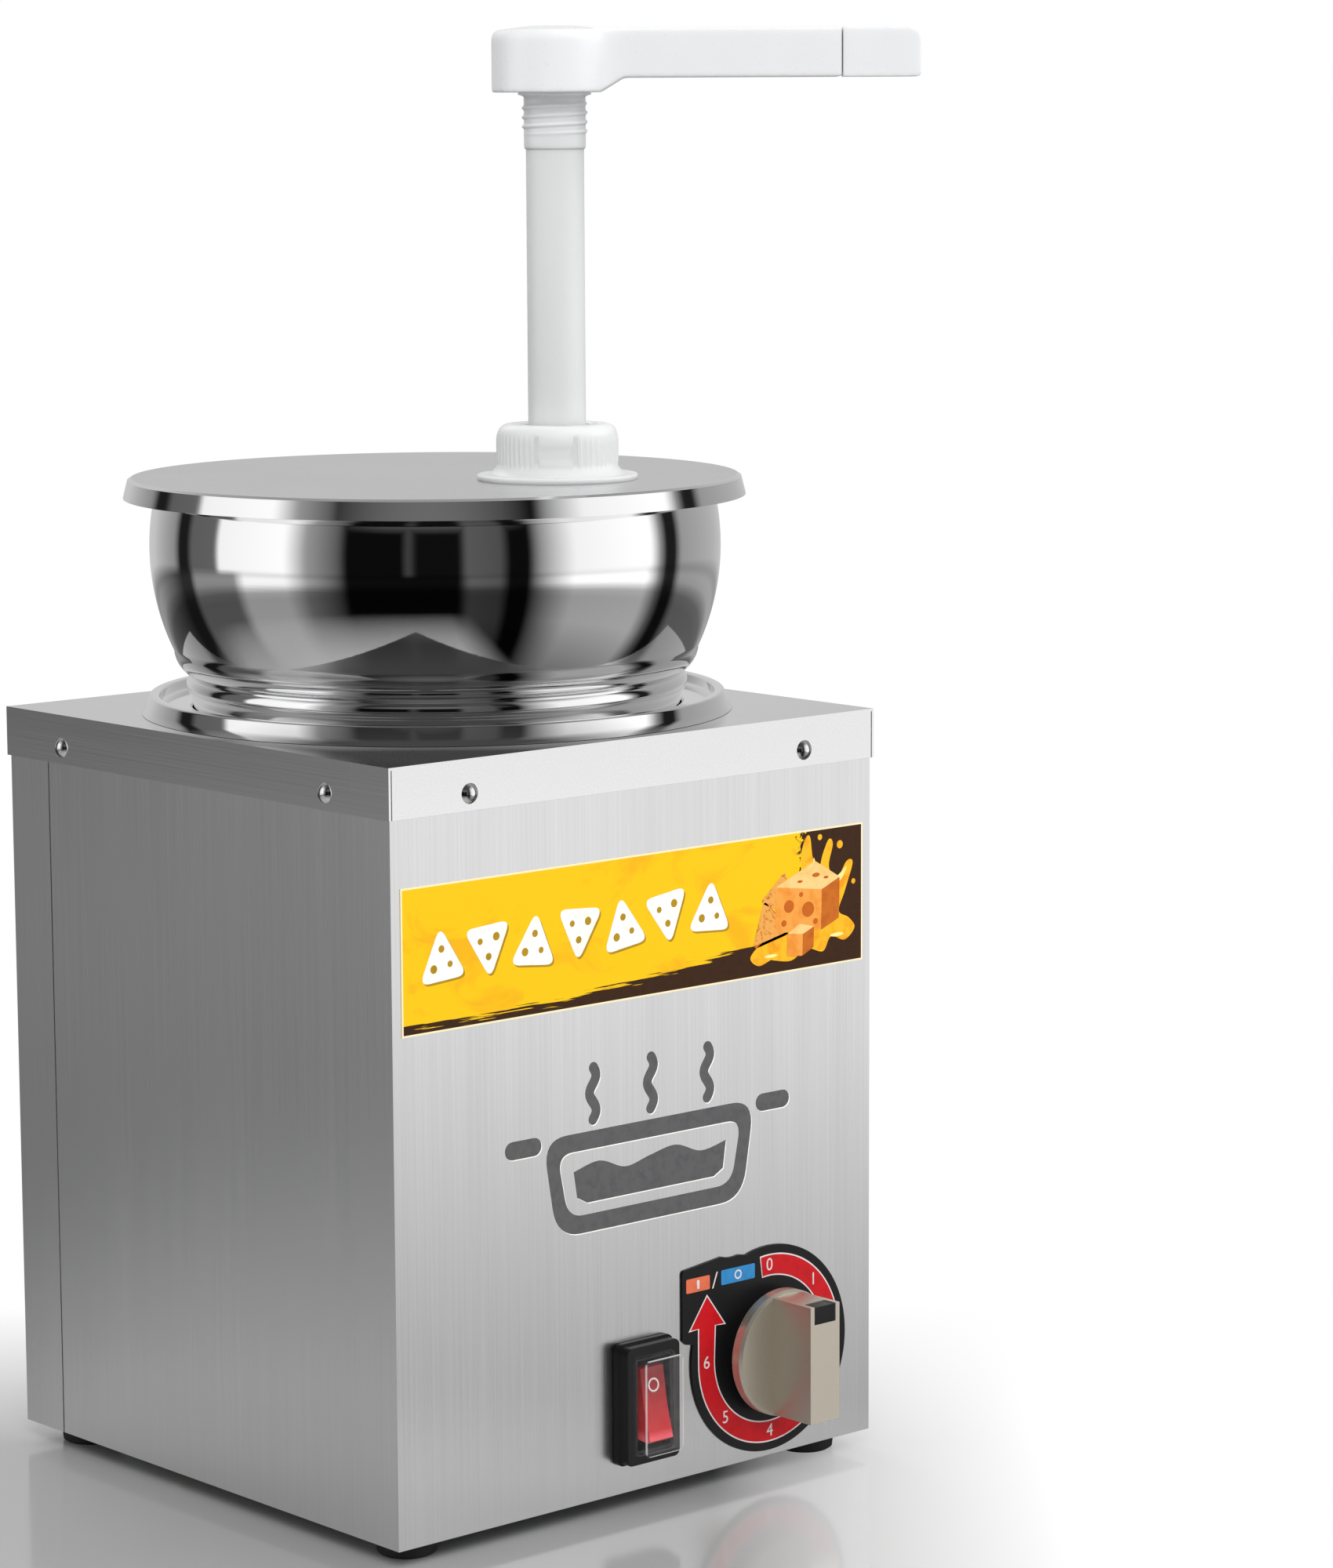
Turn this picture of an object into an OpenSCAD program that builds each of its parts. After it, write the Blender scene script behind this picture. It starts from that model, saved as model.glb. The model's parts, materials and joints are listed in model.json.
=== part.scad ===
// Heated cheese dispenser: a square sheet-metal casing with a water well, a lift-out pot with a lid,
// and a hand pump through the lid. Millimetres, +Z up, origin on the counter under the casing's centre,
// the control panel faces -Y.

/* [Casing] */
// Outer width and depth of the square casing
case_w = 224; // [222:1:226]
// Height of the casing above its feet
case_h = 271; // [268:1:275]
// Thickness of the sheet metal
sheet = 1; // [0.8:0.1:1.2]
// Height of the top cover's folded skirt
skirt_h = 18; // [15:1:22]
// Length of the rear cover's flange along each side
rear_flange = 24; // [18:1:30]
// Height of the rubber feet
foot_h = 7; // [6:1:10]
// Radius of the rubber feet
foot_r = 11; // [10:0.5:12]

/* [Well and pot] */
// Inner radius of the water well
well_r = 89.1; // [89:0.1:90]
// Depth of the water well below its rim
well_depth = 120; // [115:1:125]
// Outer radius of the pot's straight wall inside the well
pot_wall_r = 86.5; // [85:0.5:87]
// Outer radius of the pot's bulge
pot_bulge_r = 104; // [103:0.5:105]
// Height of the pot's floor above the well's floor
pot_gap = 22; // [18:1:26]

/* [Lid] */
// Outer radius of the lid at the bottom of its lip
lid_r = 113.2; // [112:0.1:115]
// Height of the lid's lip
lid_lip = 7.2; // [6:0.2:9]

/* [Pump] */
// Distance of the pump's axis from the lid's centre
pump_offset = 51.4; // [48:0.2:55]
// Direction of the pump's axis from the lid's centre, anticlockwise from +X
pump_dir = -70.3; // [-90:0.1:-50]
// Direction of the spout, anticlockwise from +X
spout_dir = -41.8; // [-60:0.1:-20]
// Outer radius of the plunger tube
tube_r = 10.35; // [10:0.05:10.5]
// Outer radius of the pump's barrel
barrel_r = 15; // [14.5:0.1:15.5]
// Travel of the plunger
stroke = 100; // [80:1:100]
// Length of the spout from the tube's axis to its tip
spout_len = 129.7; // [120:0.1:135]

/* [Controls] */
// Distance of the thermostat's axis to the right of the casing's centre
dial_x = 60.6; // [58:0.1:62]
// Height of the thermostat's axis above the counter
dial_z = 47.5; // [47:0.1:50]
// Outer radius of the dial plate
dial_r = 38.3; // [36:0.1:39]
// Radius of the knob's disc
knob_r = 23.3; // [22:0.1:25]
// Distance of the switch's centre from the casing's centre
switch_x = -1.3; // [-3:0.1:2]
// Height of the switch's centre above the counter
switch_z = 40; // [38:0.5:42]

/* [Hidden] */
$fn = 96;

half = case_w / 2;
cover_half = half + sheet;
case_z1 = foot_h + case_h;
front_y = -half;
seam_y = half - rear_flange;
seam_gap = 0.6;
screw_span = 78;
screw_drop = 12;
foot_inset = 17;
foot_at = half - foot_inset;
cut = 1;

ring_floor_z = case_z1 + 3;
well_floor_z = ring_floor_z - well_depth;
well_bend = 4;
well_hole_r = well_r + sheet + 6;
pot_z0 = well_floor_z + pot_gap;
bulge_z = case_z1 + 60;
bulge_arc = 87.25;
rim_z = case_z1 + 84.4;
lid_z = rim_z + 0.2;
lid_top = lid_z + sheet;

pump_x = pump_offset * cos(pump_dir);
pump_y = pump_offset * sin(pump_dir);
collar_r = 21.6;
collar_top = lid_top + 20;
flange_t = 2.2;
barrel_wall = 1.5;
barrel_z0 = pot_z0 + 15;
barrel_top = lid_top + 2;
seat_z = barrel_z0 + 12;
sleeve_z = collar_top + 97.4;
head_z0 = sleeve_z + 20;
head_z1 = head_z0 + 23.3;
arm_z0 = head_z0 + 5;
hub_r = 22.3;
arm_half = 10.5;
tip_seam = 101.7;
outlet_x = 117;
outlet_r = 7.6;
tube_bore = tube_r - 1.8;
channel_r = 5.5;
channel_z = head_z0 + 14;
piston_z0 = barrel_top - 28;
piston_z1 = piston_z0 + 22;
piston_r = barrel_r - barrel_wall - 0.3;
ball_r = 4;
ball_seat_r = 2.6;

dial_t = 0.8;
knob_back = front_y - 6;
knob_disc_t = 4.6;
knob_front = knob_back - 24.2;
shaft_r = 3;
bezel_w = 25;
bezel_h = 43;
bezel_t = 7;
boot_w = 17.6;
boot_h = 35;
boot_out = 6;
rocker_w = 11;
pivot_y = front_y - bezel_t + 5.5;
label_w = 216;
label_h = 51;
label_z = 211;
gland_x = -70;
gland_z = foot_h + 33;
gland_bore_r = 3.75;
block_at = [-62, 62];
stud_at = [-94, 40];

// Points of an arc in a polygon, from angle a0 to a1
function arc(c, r, a0, a1, n = 8) =
    [for (i = [0:n]) let (a = a0 + (a1 - a0) * i / n) c + r * [cos(a), sin(a)]];

// Rectangle with rounded corners, centred
module round_rect(w, h, r) {
    square([w - 2 * r, h], center = true);
    square([w, h - 2 * r], center = true);
    for (x = [-1, 1], y = [-1, 1])
        translate([x * (w / 2 - r), y * (h / 2 - r)]) circle(r, $fn = 32);
}

// Slot with round ends, along X, centred
module slot(length, r) {
    square([length - 2 * r, 2 * r], center = true);
    for (x = [-1, 1]) translate([x * (length / 2 - r), 0]) circle(r, $fn = 24);
}

// Extrudes a drawing of the front view from y0 towards the back by t
module front_plate(y0, t) translate([0, y0 + t, 0]) rotate([90, 0, 0]) linear_extrude(t) children();

// Cylinder along +Y from y0
module y_cylinder(x, y0, z, r, length) translate([x, y0, z]) rotate([-90, 0, 0]) cylinder(h = length, r = r);

// Ring round Z between two radii
module tube(r_out, r_in, z0, z1) translate([0, 0, z0]) difference() {
    cylinder(h = z1 - z0, r = r_out);
    translate([0, 0, -cut]) cylinder(h = z1 - z0 + 2 * cut, r = r_in);
}

// Moves its children to the pump's axis
module at_pump() translate([pump_x, pump_y, 0]) children();

// Unit vector, and a tube of n sides swept along points
function unit(v) = v / norm(v);
function tangent(p, i) = unit(p[min(i + 1, len(p) - 1)] - p[max(i - 1, 0)]);
function side_of(t) = unit(cross(t, abs(t[2]) > 0.9 ? [1, 0, 0] : [0, 0, 1]));
module swept_tube(p, r, n = 8) {
    points = [for (i = [0:len(p) - 1]) let (t = tangent(p, i), u = side_of(t), v = cross(t, u))
        for (k = [0:n - 1]) p[i] + r * (cos(360 * k / n) * u + sin(360 * k / n) * v)];
    rings = len(p);
    faces = concat(
        [[for (k = [0:n - 1]) k]],
        [for (i = [0:rings - 2], k = [0:n - 1])
            [i * n + (k + 1) % n, i * n + k, (i + 1) * n + k, (i + 1) * n + (k + 1) % n]],
        [[for (k = [n - 1:-1:0]) (rings - 1) * n + k]]);
    polyhedron(points, faces, convexity = 10);
}

// Smooth curve through hand-chosen points: Catmull-Rom with s steps a span
function spline_at(p, i, t) = let (
    a = p[max(i - 1, 0)], b = p[i], c = p[i + 1], d = p[min(i + 2, len(p) - 1)])
    0.5 * ((2 * b) + (c - a) * t + (2 * a - 5 * b + 4 * c - d) * t * t
        + (3 * b - a - 3 * c + d) * t * t * t);
function spline(p, s = 5) = concat(
    [for (i = [0:len(p) - 2], k = [0:s - 1]) spline_at(p, i, k / s)], [p[len(p) - 1]]);

// ---------- casing ----------

// Front and both sides folded from one sheet, with a stepped-in tongue behind each rear edge
module casing_wrap() color("lightgray") difference() {
    union() {
        translate([-half, front_y, foot_h]) cube([case_w, sheet, case_h - 1.5]);
        for (s = [0, 1]) mirror([s, 0, 0]) {
            translate([half - sheet, front_y, foot_h])
                cube([sheet, seam_y - seam_gap / 2 - front_y, case_h - 1.5]);
            translate([half - 2 * sheet, seam_y - 10, foot_h + 14]) cube([sheet, 26, case_h - 16]);
        }
    }
    y_cylinder(dial_x, front_y - cut, dial_z, 5, sheet + 2 * cut);
    for (s = [-1, 1]) y_cylinder(dial_x + s * 14, front_y - cut, dial_z, 1.8, sheet + 2 * cut);
    front_plate(front_y - cut, sheet + 2 * cut) translate([switch_x, switch_z]) square([19, 31], center = true);
    for (a = [0, 90, 270]) rotate(a) cover_screw_holes();
}

// Bores for the two screws of one skirt
module cover_screw_holes() for (s = [-1, 1])
    y_cylinder(s * screw_span, -cover_half - cut, case_z1 - screw_drop, 2, 3 * sheet + 2 * cut);

// Flat back with a flange folded round each side, vent slots and the hole for the cord gland
module rear_cover() color("silver") difference() {
    union() {
        translate([-half, half - sheet, foot_h]) cube([case_w, sheet, case_h - 1.5]);
        for (s = [0, 1]) mirror([s, 0, 0]) translate([half - sheet, seam_y + seam_gap / 2, foot_h])
            cube([sheet, rear_flange - seam_gap / 2, case_h - 1.5]);
    }
    for (x = [-1, 1], k = [0:5]) translate([x * 52, half + cut, foot_h + 95 + 11 * k])
        rotate([90, 0, 0]) linear_extrude(sheet + 2 * cut) slot(62, 1.8);
    y_cylinder(gland_x, half - sheet - cut, gland_z, 8, sheet + 2 * cut);
    for (s = [-1, 1]) y_cylinder(s * 85, half - sheet - cut, foot_h + 7, 2, sheet + 2 * cut);
    rotate(180) cover_screw_holes();
}

// Flat top with a round hole for the well and four folded skirts that leave a seam at each corner
module top_cover() color("gainsboro") difference() {
    union() {
        translate([-cover_half, -cover_half, case_z1 - sheet]) cube([2 * cover_half, 2 * cover_half, sheet]);
        for (a = [90, 270]) rotate(a) translate([-cover_half, -cover_half, case_z1 - skirt_h])
            cube([2 * cover_half, sheet, skirt_h]);
        for (a = [0, 180]) rotate(a) translate([-half + 0.4, -cover_half, case_z1 - skirt_h])
            cube([2 * half - 0.8, sheet, skirt_h]);
    }
    translate([0, 0, case_z1 - sheet - cut]) cylinder(h = sheet + 2 * cut, r = well_hole_r);
    for (a = [0:90:270]) rotate(a) cover_screw_holes();
}

// Tray that closes the casing from below, with an upturned edge and vent slots
module base_plate() color("darkgray") {
    edge = half - sheet - 0.2;
    difference() {
        union() {
            translate([-edge, -edge, foot_h]) cube([2 * edge, 2 * edge, sheet]);
            for (a = [0:90:270]) rotate(a) translate([-edge, -edge, foot_h]) cube([2 * edge, sheet, 12]);
        }
        for (x = [-1, 1], y = [-1, 1]) translate([x * foot_at, y * foot_at, foot_h - cut])
            cylinder(h = sheet + 2 * cut, r = 2.2);
        for (k = [-4:4]) translate([0, 13 * k, foot_h - cut]) linear_extrude(sheet + 2 * cut) slot(70, 2);
        for (s = [-1, 1]) y_cylinder(s * 85, edge - sheet - cut, foot_h + 7, 1.7, sheet + 2 * cut);
        translate([stud_at[0], stud_at[1], foot_h - cut]) cylinder(h = sheet + 2 * cut, r = 2.1);
    }
}

// Domed screw along +Y whose head's seat is at y0
module dome_screw(x, y0, z, head_r, head_h, shank_r, length) translate([x, y0, z]) {
    ball = (head_r * head_r + head_h * head_h) / (2 * head_h);
    rotate([90, 0, 0]) intersection() {
        translate([0, 0, head_h - ball]) sphere(ball);
        cylinder(h = head_h, r = head_r);
    }
    rotate([-90, 0, 0]) cylinder(h = length, r = shank_r);
}

module cover_screws() color("whitesmoke") for (a = [0:90:270], s = [-1, 1])
    rotate(a) dome_screw(s * screw_span, -cover_half, case_z1 - screw_drop, 3.6, 2, 1.9, 7);

module rear_screws() color("whitesmoke") for (s = [-1, 1])
    mirror([0, 1, 0]) dome_screw(s * 85, -half, foot_h + 7, 3.2, 1.8, 1.6, 6);

// Four short round feet, each recessed for its screw
module rubber_feet() color([0.06, 0.06, 0.06]) for (x = [-1, 1], y = [-1, 1])
    translate([x * foot_at, y * foot_at, 0]) rotate_extrude() polygon([
        [2.1, 3.5], [5.2, 3.5], [5.2, 0], [foot_r - 1.8, 0], [foot_r - 0.6, 0.8], [foot_r, foot_h], [2.1, foot_h]]);

module foot_screws() color("silver") for (x = [-1, 1], y = [-1, 1])
    translate([x * foot_at, y * foot_at, 1.2]) {
        cylinder(h = 2.3, r = 4.4);
        cylinder(h = foot_h + 5, r = 1.9);
    }

module foot_nuts() color("silver") for (x = [-1, 1], y = [-1, 1])
    translate([x * foot_at, y * foot_at, foot_h + sheet]) difference() {
        cylinder(h = 3.2, r = 4, $fn = 6);
        translate([0, 0, -cut]) cylinder(h = 6, r = 1.95);
    }

// ---------- well and heater ----------

// Deep-drawn round tank with a raised rim that rests on the top cover
module water_well() color("whitesmoke") rotate_extrude() {
    zf = ring_floor_z;
    z0 = well_floor_z;
    polygon(concat(
        [[0, z0], [0, z0 - sheet]],
        arc([well_r - well_bend, z0 + well_bend], well_bend + sheet, -90, 0, 4),
        arc([well_r + sheet + 1, zf - sheet - 1], 1, 180, 90, 3),
        [[101.2, zf - sheet], [102.9, zf + 2.9], [104.2, zf + 2.9], [106.8, case_z1 + 0.1], [108, case_z1 + 0.1]],
        [[105.1, zf + 3.9], [102.3, zf + 3.9], [100.5, zf]],
        arc([well_r + 2, zf - 2], 2, 90, 180, 4),
        arc([well_r - well_bend, z0 + well_bend], well_bend, 0, -90, 4)));
}

module well_gasket() color("dimgray") tube(100.8, well_hole_r + 1, case_z1, ring_floor_z - sheet);

// Aluminium disc that spreads the element's heat over the well's floor
module heater_plate() color("silver") difference() {
    translate([0, 0, well_floor_z - sheet - 6]) cylinder(h = 6, r = 68);
    translate([0, 0, well_floor_z - sheet - 7]) cylinder(h = 3, r = 2.6);
}

element_z = well_floor_z - sheet - 6 - 4.2;
// Bent tubular element: most of a turn and two legs down
module heating_element() color([0.25, 0.22, 0.2]) {
    translate([0, 0, element_z]) rotate(285) rotate_extrude(angle = 330) translate([50, 0]) circle(4.2, $fn = 32);
    for (a = [285, 255]) rotate(a) translate([50, 0, element_z - 22]) {
        cylinder(h = 22, r = 4.2);
        translate([0, 0, -9]) cylinder(h = 9, r = 1.6);
    }
}

// Strap that presses the element and its plate up, and the stud and nut that pull it
module heater_clamp() color("darkgray") difference() {
    union() {
        translate([-66, -10, element_z - 4.2 - 2]) cube([132, 20, 2]);
        translate([0, 0, element_z - 4.2]) cylinder(h = 8.2, r = 6);
    }
    translate([0, 0, element_z - 8]) cylinder(h = 16, r = 2.6);
}

module clamp_nut() color("silver") {
    translate([0, 0, element_z - 6.2 - 4]) cylinder(h = 4, r = 4.6, $fn = 6);
    translate([0, 0, element_z - 13]) cylinder(h = 18.9, r = 2.5);
}

module insulation_sleeve() color("khaki") tube(105, well_r + sheet + 0.4, well_floor_z + 6, case_z1 - sheet - 4);

// Bimetal cut-out on a foot under the heater plate
module thermal_cutout() color([0.75, 0.7, 0.6]) translate([8, 24, 0]) {
    plate_z = well_floor_z - sheet - 6;
    translate([0, 0, plate_z - 1]) cylinder(h = 1, r = 12);
    translate([0, 0, plate_z - 10]) cylinder(h = 9, r = 8);
    for (s = [-1, 1]) translate([s * 4.5 - 0.4, -3, plate_z - 18]) cube([0.8, 6, 8]);
}

bulb_at = [-30, -58, element_z + 1];
// Sensing bulb clipped under the well's floor edge
module sensing_bulb() color("peru") translate([bulb_at[0], bulb_at[1], bulb_at[2]]) rotate([0, 90, 0]) {
    cylinder(h = 60, r = 3);
    translate([0, 0, -6]) cylinder(h = 6, r = 1.6);
}

capillary_route = [[-36.3, -58, 150.8], [-46, -58, 150.8], [-60, -64, 143], [-64, -72, 128], [-50, -84, 112],
    [-20, -92, 100], [20, -92, 92], [40, -82, 82], [51, -68, 70], [54, -64, 60], [54, -69, 57], [54, -77.2, 57]];
module capillary_tube() color("peru") swept_tube(spline(capillary_route, 5), 1);

// ---------- thermostat and knob ----------

module thermostat_body() color("beige") {
    inner = front_y + sheet;
    difference() {
        union() {
            translate([dial_x - 22, inner, dial_z - 8]) cube([44, 1.5, 16]);
            translate([dial_x - 17, inner + 1.5, dial_z - 15]) cube([34, 26, 30]);
            y_cylinder(dial_x, front_y - dial_t, dial_z, 4.8, 3.5 + sheet);
        }
        y_cylinder(dial_x, front_y - 3, dial_z, shaft_r + 0.1, 15);
        for (s = [-1, 1]) y_cylinder(dial_x + s * 14, front_y - 3, dial_z, 1.4, 11);
    }
    for (x = [-8, 8]) translate([dial_x + x - 3, inner + 27.5, dial_z - 0.4]) cube([6, 8, 0.8]);
    y_cylinder(dial_x - 6.6, inner + 27.5, dial_z + 9.5, 3, 6);
}

module thermostat_screws() color("silver") for (s = [-1, 1])
    dome_screw(dial_x + s * 14, front_y - dial_t, dial_z, 3, 1.6, 1.35, 8);

// Shaft with a flat, fixed in the knob
module thermostat_shaft() color("silver") difference() {
    y_cylinder(dial_x, knob_back - 12, dial_z, shaft_r, knob_back * -1 + 12 + front_y + 9);
    translate([dial_x - 4, knob_back - 13, dial_z + 1.8]) cube([8, 14, 4]);
}

// Dial plate: a disc with a rectangular shoulder at its upper left
module dial_plate() color([0.07, 0.07, 0.07]) translate([dial_x, front_y, dial_z]) difference() {
    union() {
        y_cylinder(0, -dial_t, 0, dial_r, dial_t);
        front_plate(-dial_t, dial_t) polygon(concat(
            [[-20, 20], [-20, 4.2], [-41, 8.6], [-42.6, 10.2], [-42.6, 34]],
            arc([-41.1, 34.4], 1.5, 170, 100, 3), arc([-18, 52], 15, 250, 282, 5), [[-8, 36], [-8, 20]]));
    }
    y_cylinder(0, -2, 0, 4.9, 4);
    for (s = [-1, 1]) y_cylinder(14 * s, -2, 0, 1.5, 4);
}

// Round disc with a straight grip across it, and a notch for the pointer at the grip's upper end
module knob() color([0.62, 0.57, 0.5]) difference() {
    union() {
        translate([dial_x, knob_back, dial_z]) rotate([90, 0, 0]) rotate_extrude() polygon([[0, 0], [knob_r, 0],
            [knob_r, knob_disc_t - 1], [knob_r - 1, knob_disc_t], [0, knob_disc_t]]);
        translate([dial_x - 7.2, knob_front, dial_z - 21.6]) cube([14.4, knob_back - knob_front, 43.2]);
    }
    translate([dial_x - 5.2, knob_front - cut, dial_z + 15]) cube([10.4, 6 + cut, 10]);
    difference() {
        y_cylinder(dial_x, knob_back - 12.5, dial_z, shaft_r + 0.02, 20);
        translate([dial_x - 4, knob_back - 14, dial_z + 1.85]) cube([8, 16, 4]);
    }
}

module knob_pointer() color([0.04, 0.04, 0.04])
    translate([dial_x - 5.2, knob_front + 0.3, dial_z + 15]) cube([10.4, 5.7, 6.3]);

// ---------- switch ----------

module switch_bezel() color([0.08, 0.08, 0.08]) translate([switch_x, 0, switch_z]) difference() {
    union() {
        front_plate(front_y - 2.6, 2.6) round_rect(bezel_w + 1.6, bezel_h + 1.6, 3);
        front_plate(front_y - bezel_t, bezel_t) round_rect(bezel_w, bezel_h, 2.5);
    }
    front_plate(front_y - bezel_t - cut, bezel_t + 2 * cut) square([boot_w - 2.4, boot_h - 2.4], center = true);
}

// Moulded body snapped through the panel behind the bezel
module switch_body() color([0.12, 0.12, 0.12]) translate([switch_x, 0, switch_z]) difference() {
    union() {
        front_plate(front_y, 24) square([18.6, 30.6], center = true);
        for (s = [0, 1]) mirror([s, 0, 0]) translate([5.9, front_y - 4.5, -4]) cube([1.6, 6, 8]);
    }
    front_plate(front_y - cut, 13) square([rocker_w + 0.8, 28.4], center = true);
    translate([-10, pivot_y, 0]) rotate([0, 90, 0]) cylinder(h = 20, r = 1.52);
}

// Paddle with a shallow V front; its upper end is pressed in at rest
module rocker() color([0.8, 0.02, 0.03]) translate([switch_x, pivot_y, switch_z]) difference() {
    rotate([90, 0, 90]) translate([0, 0, -rocker_w / 2]) linear_extrude(rocker_w)
        polygon([[-4.3, 13], [-6.2, 0], [-9.6, -12.6], [-8.2, -13.5], [-1, -12.6], [4, -5], [4, 5], [-1, 13]]);
    rotate([0, 90, 0]) translate([0, 0, -rocker_w]) cylinder(h = 2 * rocker_w, r = 1.55);
}

module rocker_pin() color("silver") translate([switch_x - 7.4, pivot_y, switch_z]) rotate([0, 90, 0])
    cylinder(h = 14.8, r = 1.5);

// Soft clear cover over the rocker
module switch_boot() color([0.85, 0.85, 0.85, 0.35]) translate([switch_x, 0, switch_z]) difference() {
    union() {
        front_plate(front_y - bezel_t - 1, 1) round_rect(boot_w + 1.4, boot_h + 1.4, 2.2);
        front_plate(front_y - bezel_t - boot_out, boot_out) round_rect(boot_w, boot_h, 2);
    }
    front_plate(front_y - bezel_t - boot_out + 0.8, boot_out) square([boot_w - 1.8, boot_h - 1.8], center = true);
}

module switch_tabs() color("silver") for (z = [-9, 0, 9])
    translate([switch_x - 3, front_y + 24, switch_z + z - 0.4]) cube([6, 9, 0.8]);

module front_label() color("gold") front_plate(front_y - 0.3, 0.3) translate([0, label_z])
    square([label_w, label_h], center = true);

// ---------- supply ----------

// Nylon strain relief in the rear cover, open for a mains cord
module cord_gland() color([0.1, 0.1, 0.1]) difference() {
    union() {
        y_cylinder(gland_x, half - 12, gland_z, 7.8, 12);
        translate([gland_x, half, gland_z]) rotate([-90, 0, 0]) cylinder(h = 5, r = 11.5, $fn = 6);
        translate([gland_x, half + 5, gland_z]) rotate([-90, 0, 0]) cylinder(h = 9, r1 = 9.4, r2 = 7);
    }
    y_cylinder(gland_x, half - 13, gland_z, gland_bore_r, 30);
}

module gland_nut() color([0.1, 0.1, 0.1]) difference() {
    translate([gland_x, half - sheet - 5, gland_z]) rotate([-90, 0, 0]) cylinder(h = 5, r = 12, $fn = 6);
    y_cylinder(gland_x, half - sheet - 6, gland_z, 7.85, 8);
}

module terminal_block() color("ivory") translate([block_at[0], block_at[1], foot_h + sheet]) difference() {
    translate([-24, -9, 0]) cube([48, 18, 16]);
    for (k = [-1:1]) translate([14 * k, 0, 0]) {
        translate([0, 0, 9]) cylinder(h = 8, r = 3.2);
        translate([0, -10, 6.5]) rotate([-90, 0, 0]) cylinder(h = 20, r = 2);
    }
}

module terminal_screws() color("goldenrod") translate([block_at[0], block_at[1], foot_h + sheet])
    for (k = [-1:1]) translate([14 * k, 0, 9]) difference() {
        cylinder(h = 5, r = 3.1);
        translate([-4, -0.5, 4]) cube([8, 1, 2]);
    }

module earth_stud() color("goldenrod") translate([stud_at[0], stud_at[1], 0]) {
    translate([0, 0, foot_h - 2]) cylinder(h = 2, r = 3.6);
    translate([0, 0, foot_h - 2]) cylinder(h = 16, r = 2);
    translate([0, 0, foot_h + sheet]) cylinder(h = 3, r = 4.2, $fn = 6);
    translate([0, 0, foot_h + sheet + 3]) cylinder(h = 1, r = 4.4);
    translate([-2, -10, foot_h + sheet + 3]) cube([4, 10, 1]);
    translate([0, -14, foot_h + sheet + 5.2]) rotate([-90, 0, 0]) cylinder(h = 5, r = 1.8);
}

// Routes from the terminal block through the switch and the thermostat to the element
live_routes = [
    [[-76, 57, 14.5], [-76, 47, 14.5], [-74, 24, 20], [-60, -10, 20], [-34, -44, 24], [-9, -62, 31],
        [-1.3, -70, 31], [-1.3, -78.6, 31]],
    [[-1.3, -78.6, 40], [-1.3, -70, 40], [8, -62, 42], [30, -58, 46], [46, -60, 47.5], [52.6, -66, 47.5],
        [52.6, -75.2, 47.5]],
    [[68.6, -75.2, 47.5], [68.6, -66, 47.5], [64, -54, 60], [44, -46, 84], [24, -47, 98], [14, -48.3, 106],
        [12.9, -48.3, 112], [12.9, -48.3, 118.6]]];
neutral_routes = [
    [[-62, 57, 14.5], [-62, 47, 14.5], [-58, 38, 22], [-46, 20, 40], [-24, 14, 80], [0, 18, 118],
        [3.5, 24, 128], [3.5, 24, 135.7]],
    [[12.5, 24, 135.7], [12.5, 24, 128], [10, 10, 114], [2, -24, 104], [-8, -44, 104], [-12.9, -48.3, 110],
        [-12.9, -48.3, 118.6]],
    [[-62, 57, 14.5], [-62, 47, 14.5], [-60, 36, 24], [-40, 0, 26], [-16, -40, 40], [-3, -62, 49],
        [-1.3, -70, 49], [-1.3, -78.6, 49]]];
earth_route = [[-48, 57, 14.5], [-48, 46, 14.5], [-56, 28, 13.5], [-76, 12, 12.5], [-92, 12, 13], [-94, 18, 13.2],
    [-94, 25.7, 13.2]];
module live_wires() color("saddlebrown") for (r = live_routes) swept_tube(spline(r, 4), 1.3);
module neutral_wires() color("royalblue") for (r = neutral_routes) swept_tube(spline(r, 4), 1.3);
module earth_wire() color("yellowgreen") swept_tube(spline(earth_route, 4), 1.3);

// ---------- pot and lid ----------

function bulge_r_at(z, r) = pot_bulge_r - bulge_arc + sqrt(r * r - pow(z - bulge_z, 2));

// Straight wall below, a tapered seat and a bead at the neck, a round bulge above and a turned-out rim
module pot() color("whitesmoke") rotate_extrude() {
    z0 = pot_z0;
    z1 = case_z1;
    centre = [pot_bulge_r - bulge_arc, bulge_z];
    low = asin((z1 + 23 - bulge_z) / bulge_arc);
    high = asin((rim_z - 5 - bulge_z) / bulge_arc);
    polygon(concat(
        [[0, z0 + sheet], [0, z0]],
        arc([pot_wall_r - 10, z0 + 10], 10, -90, 0, 6),
        [[pot_wall_r, z1 - 6], [88.3, z1 - 2], [89, z1 + 2], [89.8, z1 + 6]],
        arc([87, z1 + 10.2], 4.6, -40, 45, 5),
        [[90.9, z1 + 14.2], [92.9, z1 + 16.3], [95, z1 + 19.6], [95.7, z1 + 21.8]],
        arc(centre, bulge_arc, low, high, 20),
        [[104.5, rim_z - 1.4], [108.4, rim_z - 0.9], [108.4, rim_z], [103.5, rim_z]],
        arc(centre, bulge_arc - sheet, high, low, 20),
        [[94.4, z1 + 21], [92, z1 + 17], [89.7, z1 + 14], [89.3, z1 + 10], [88.6, z1 + 6],
            [87.6, z1 - 2], [pot_wall_r - sheet, z1 - 6]],
        arc([pot_wall_r - 10, z0 + 10], 10 - sheet, 0, -90, 6)));
}

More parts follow.
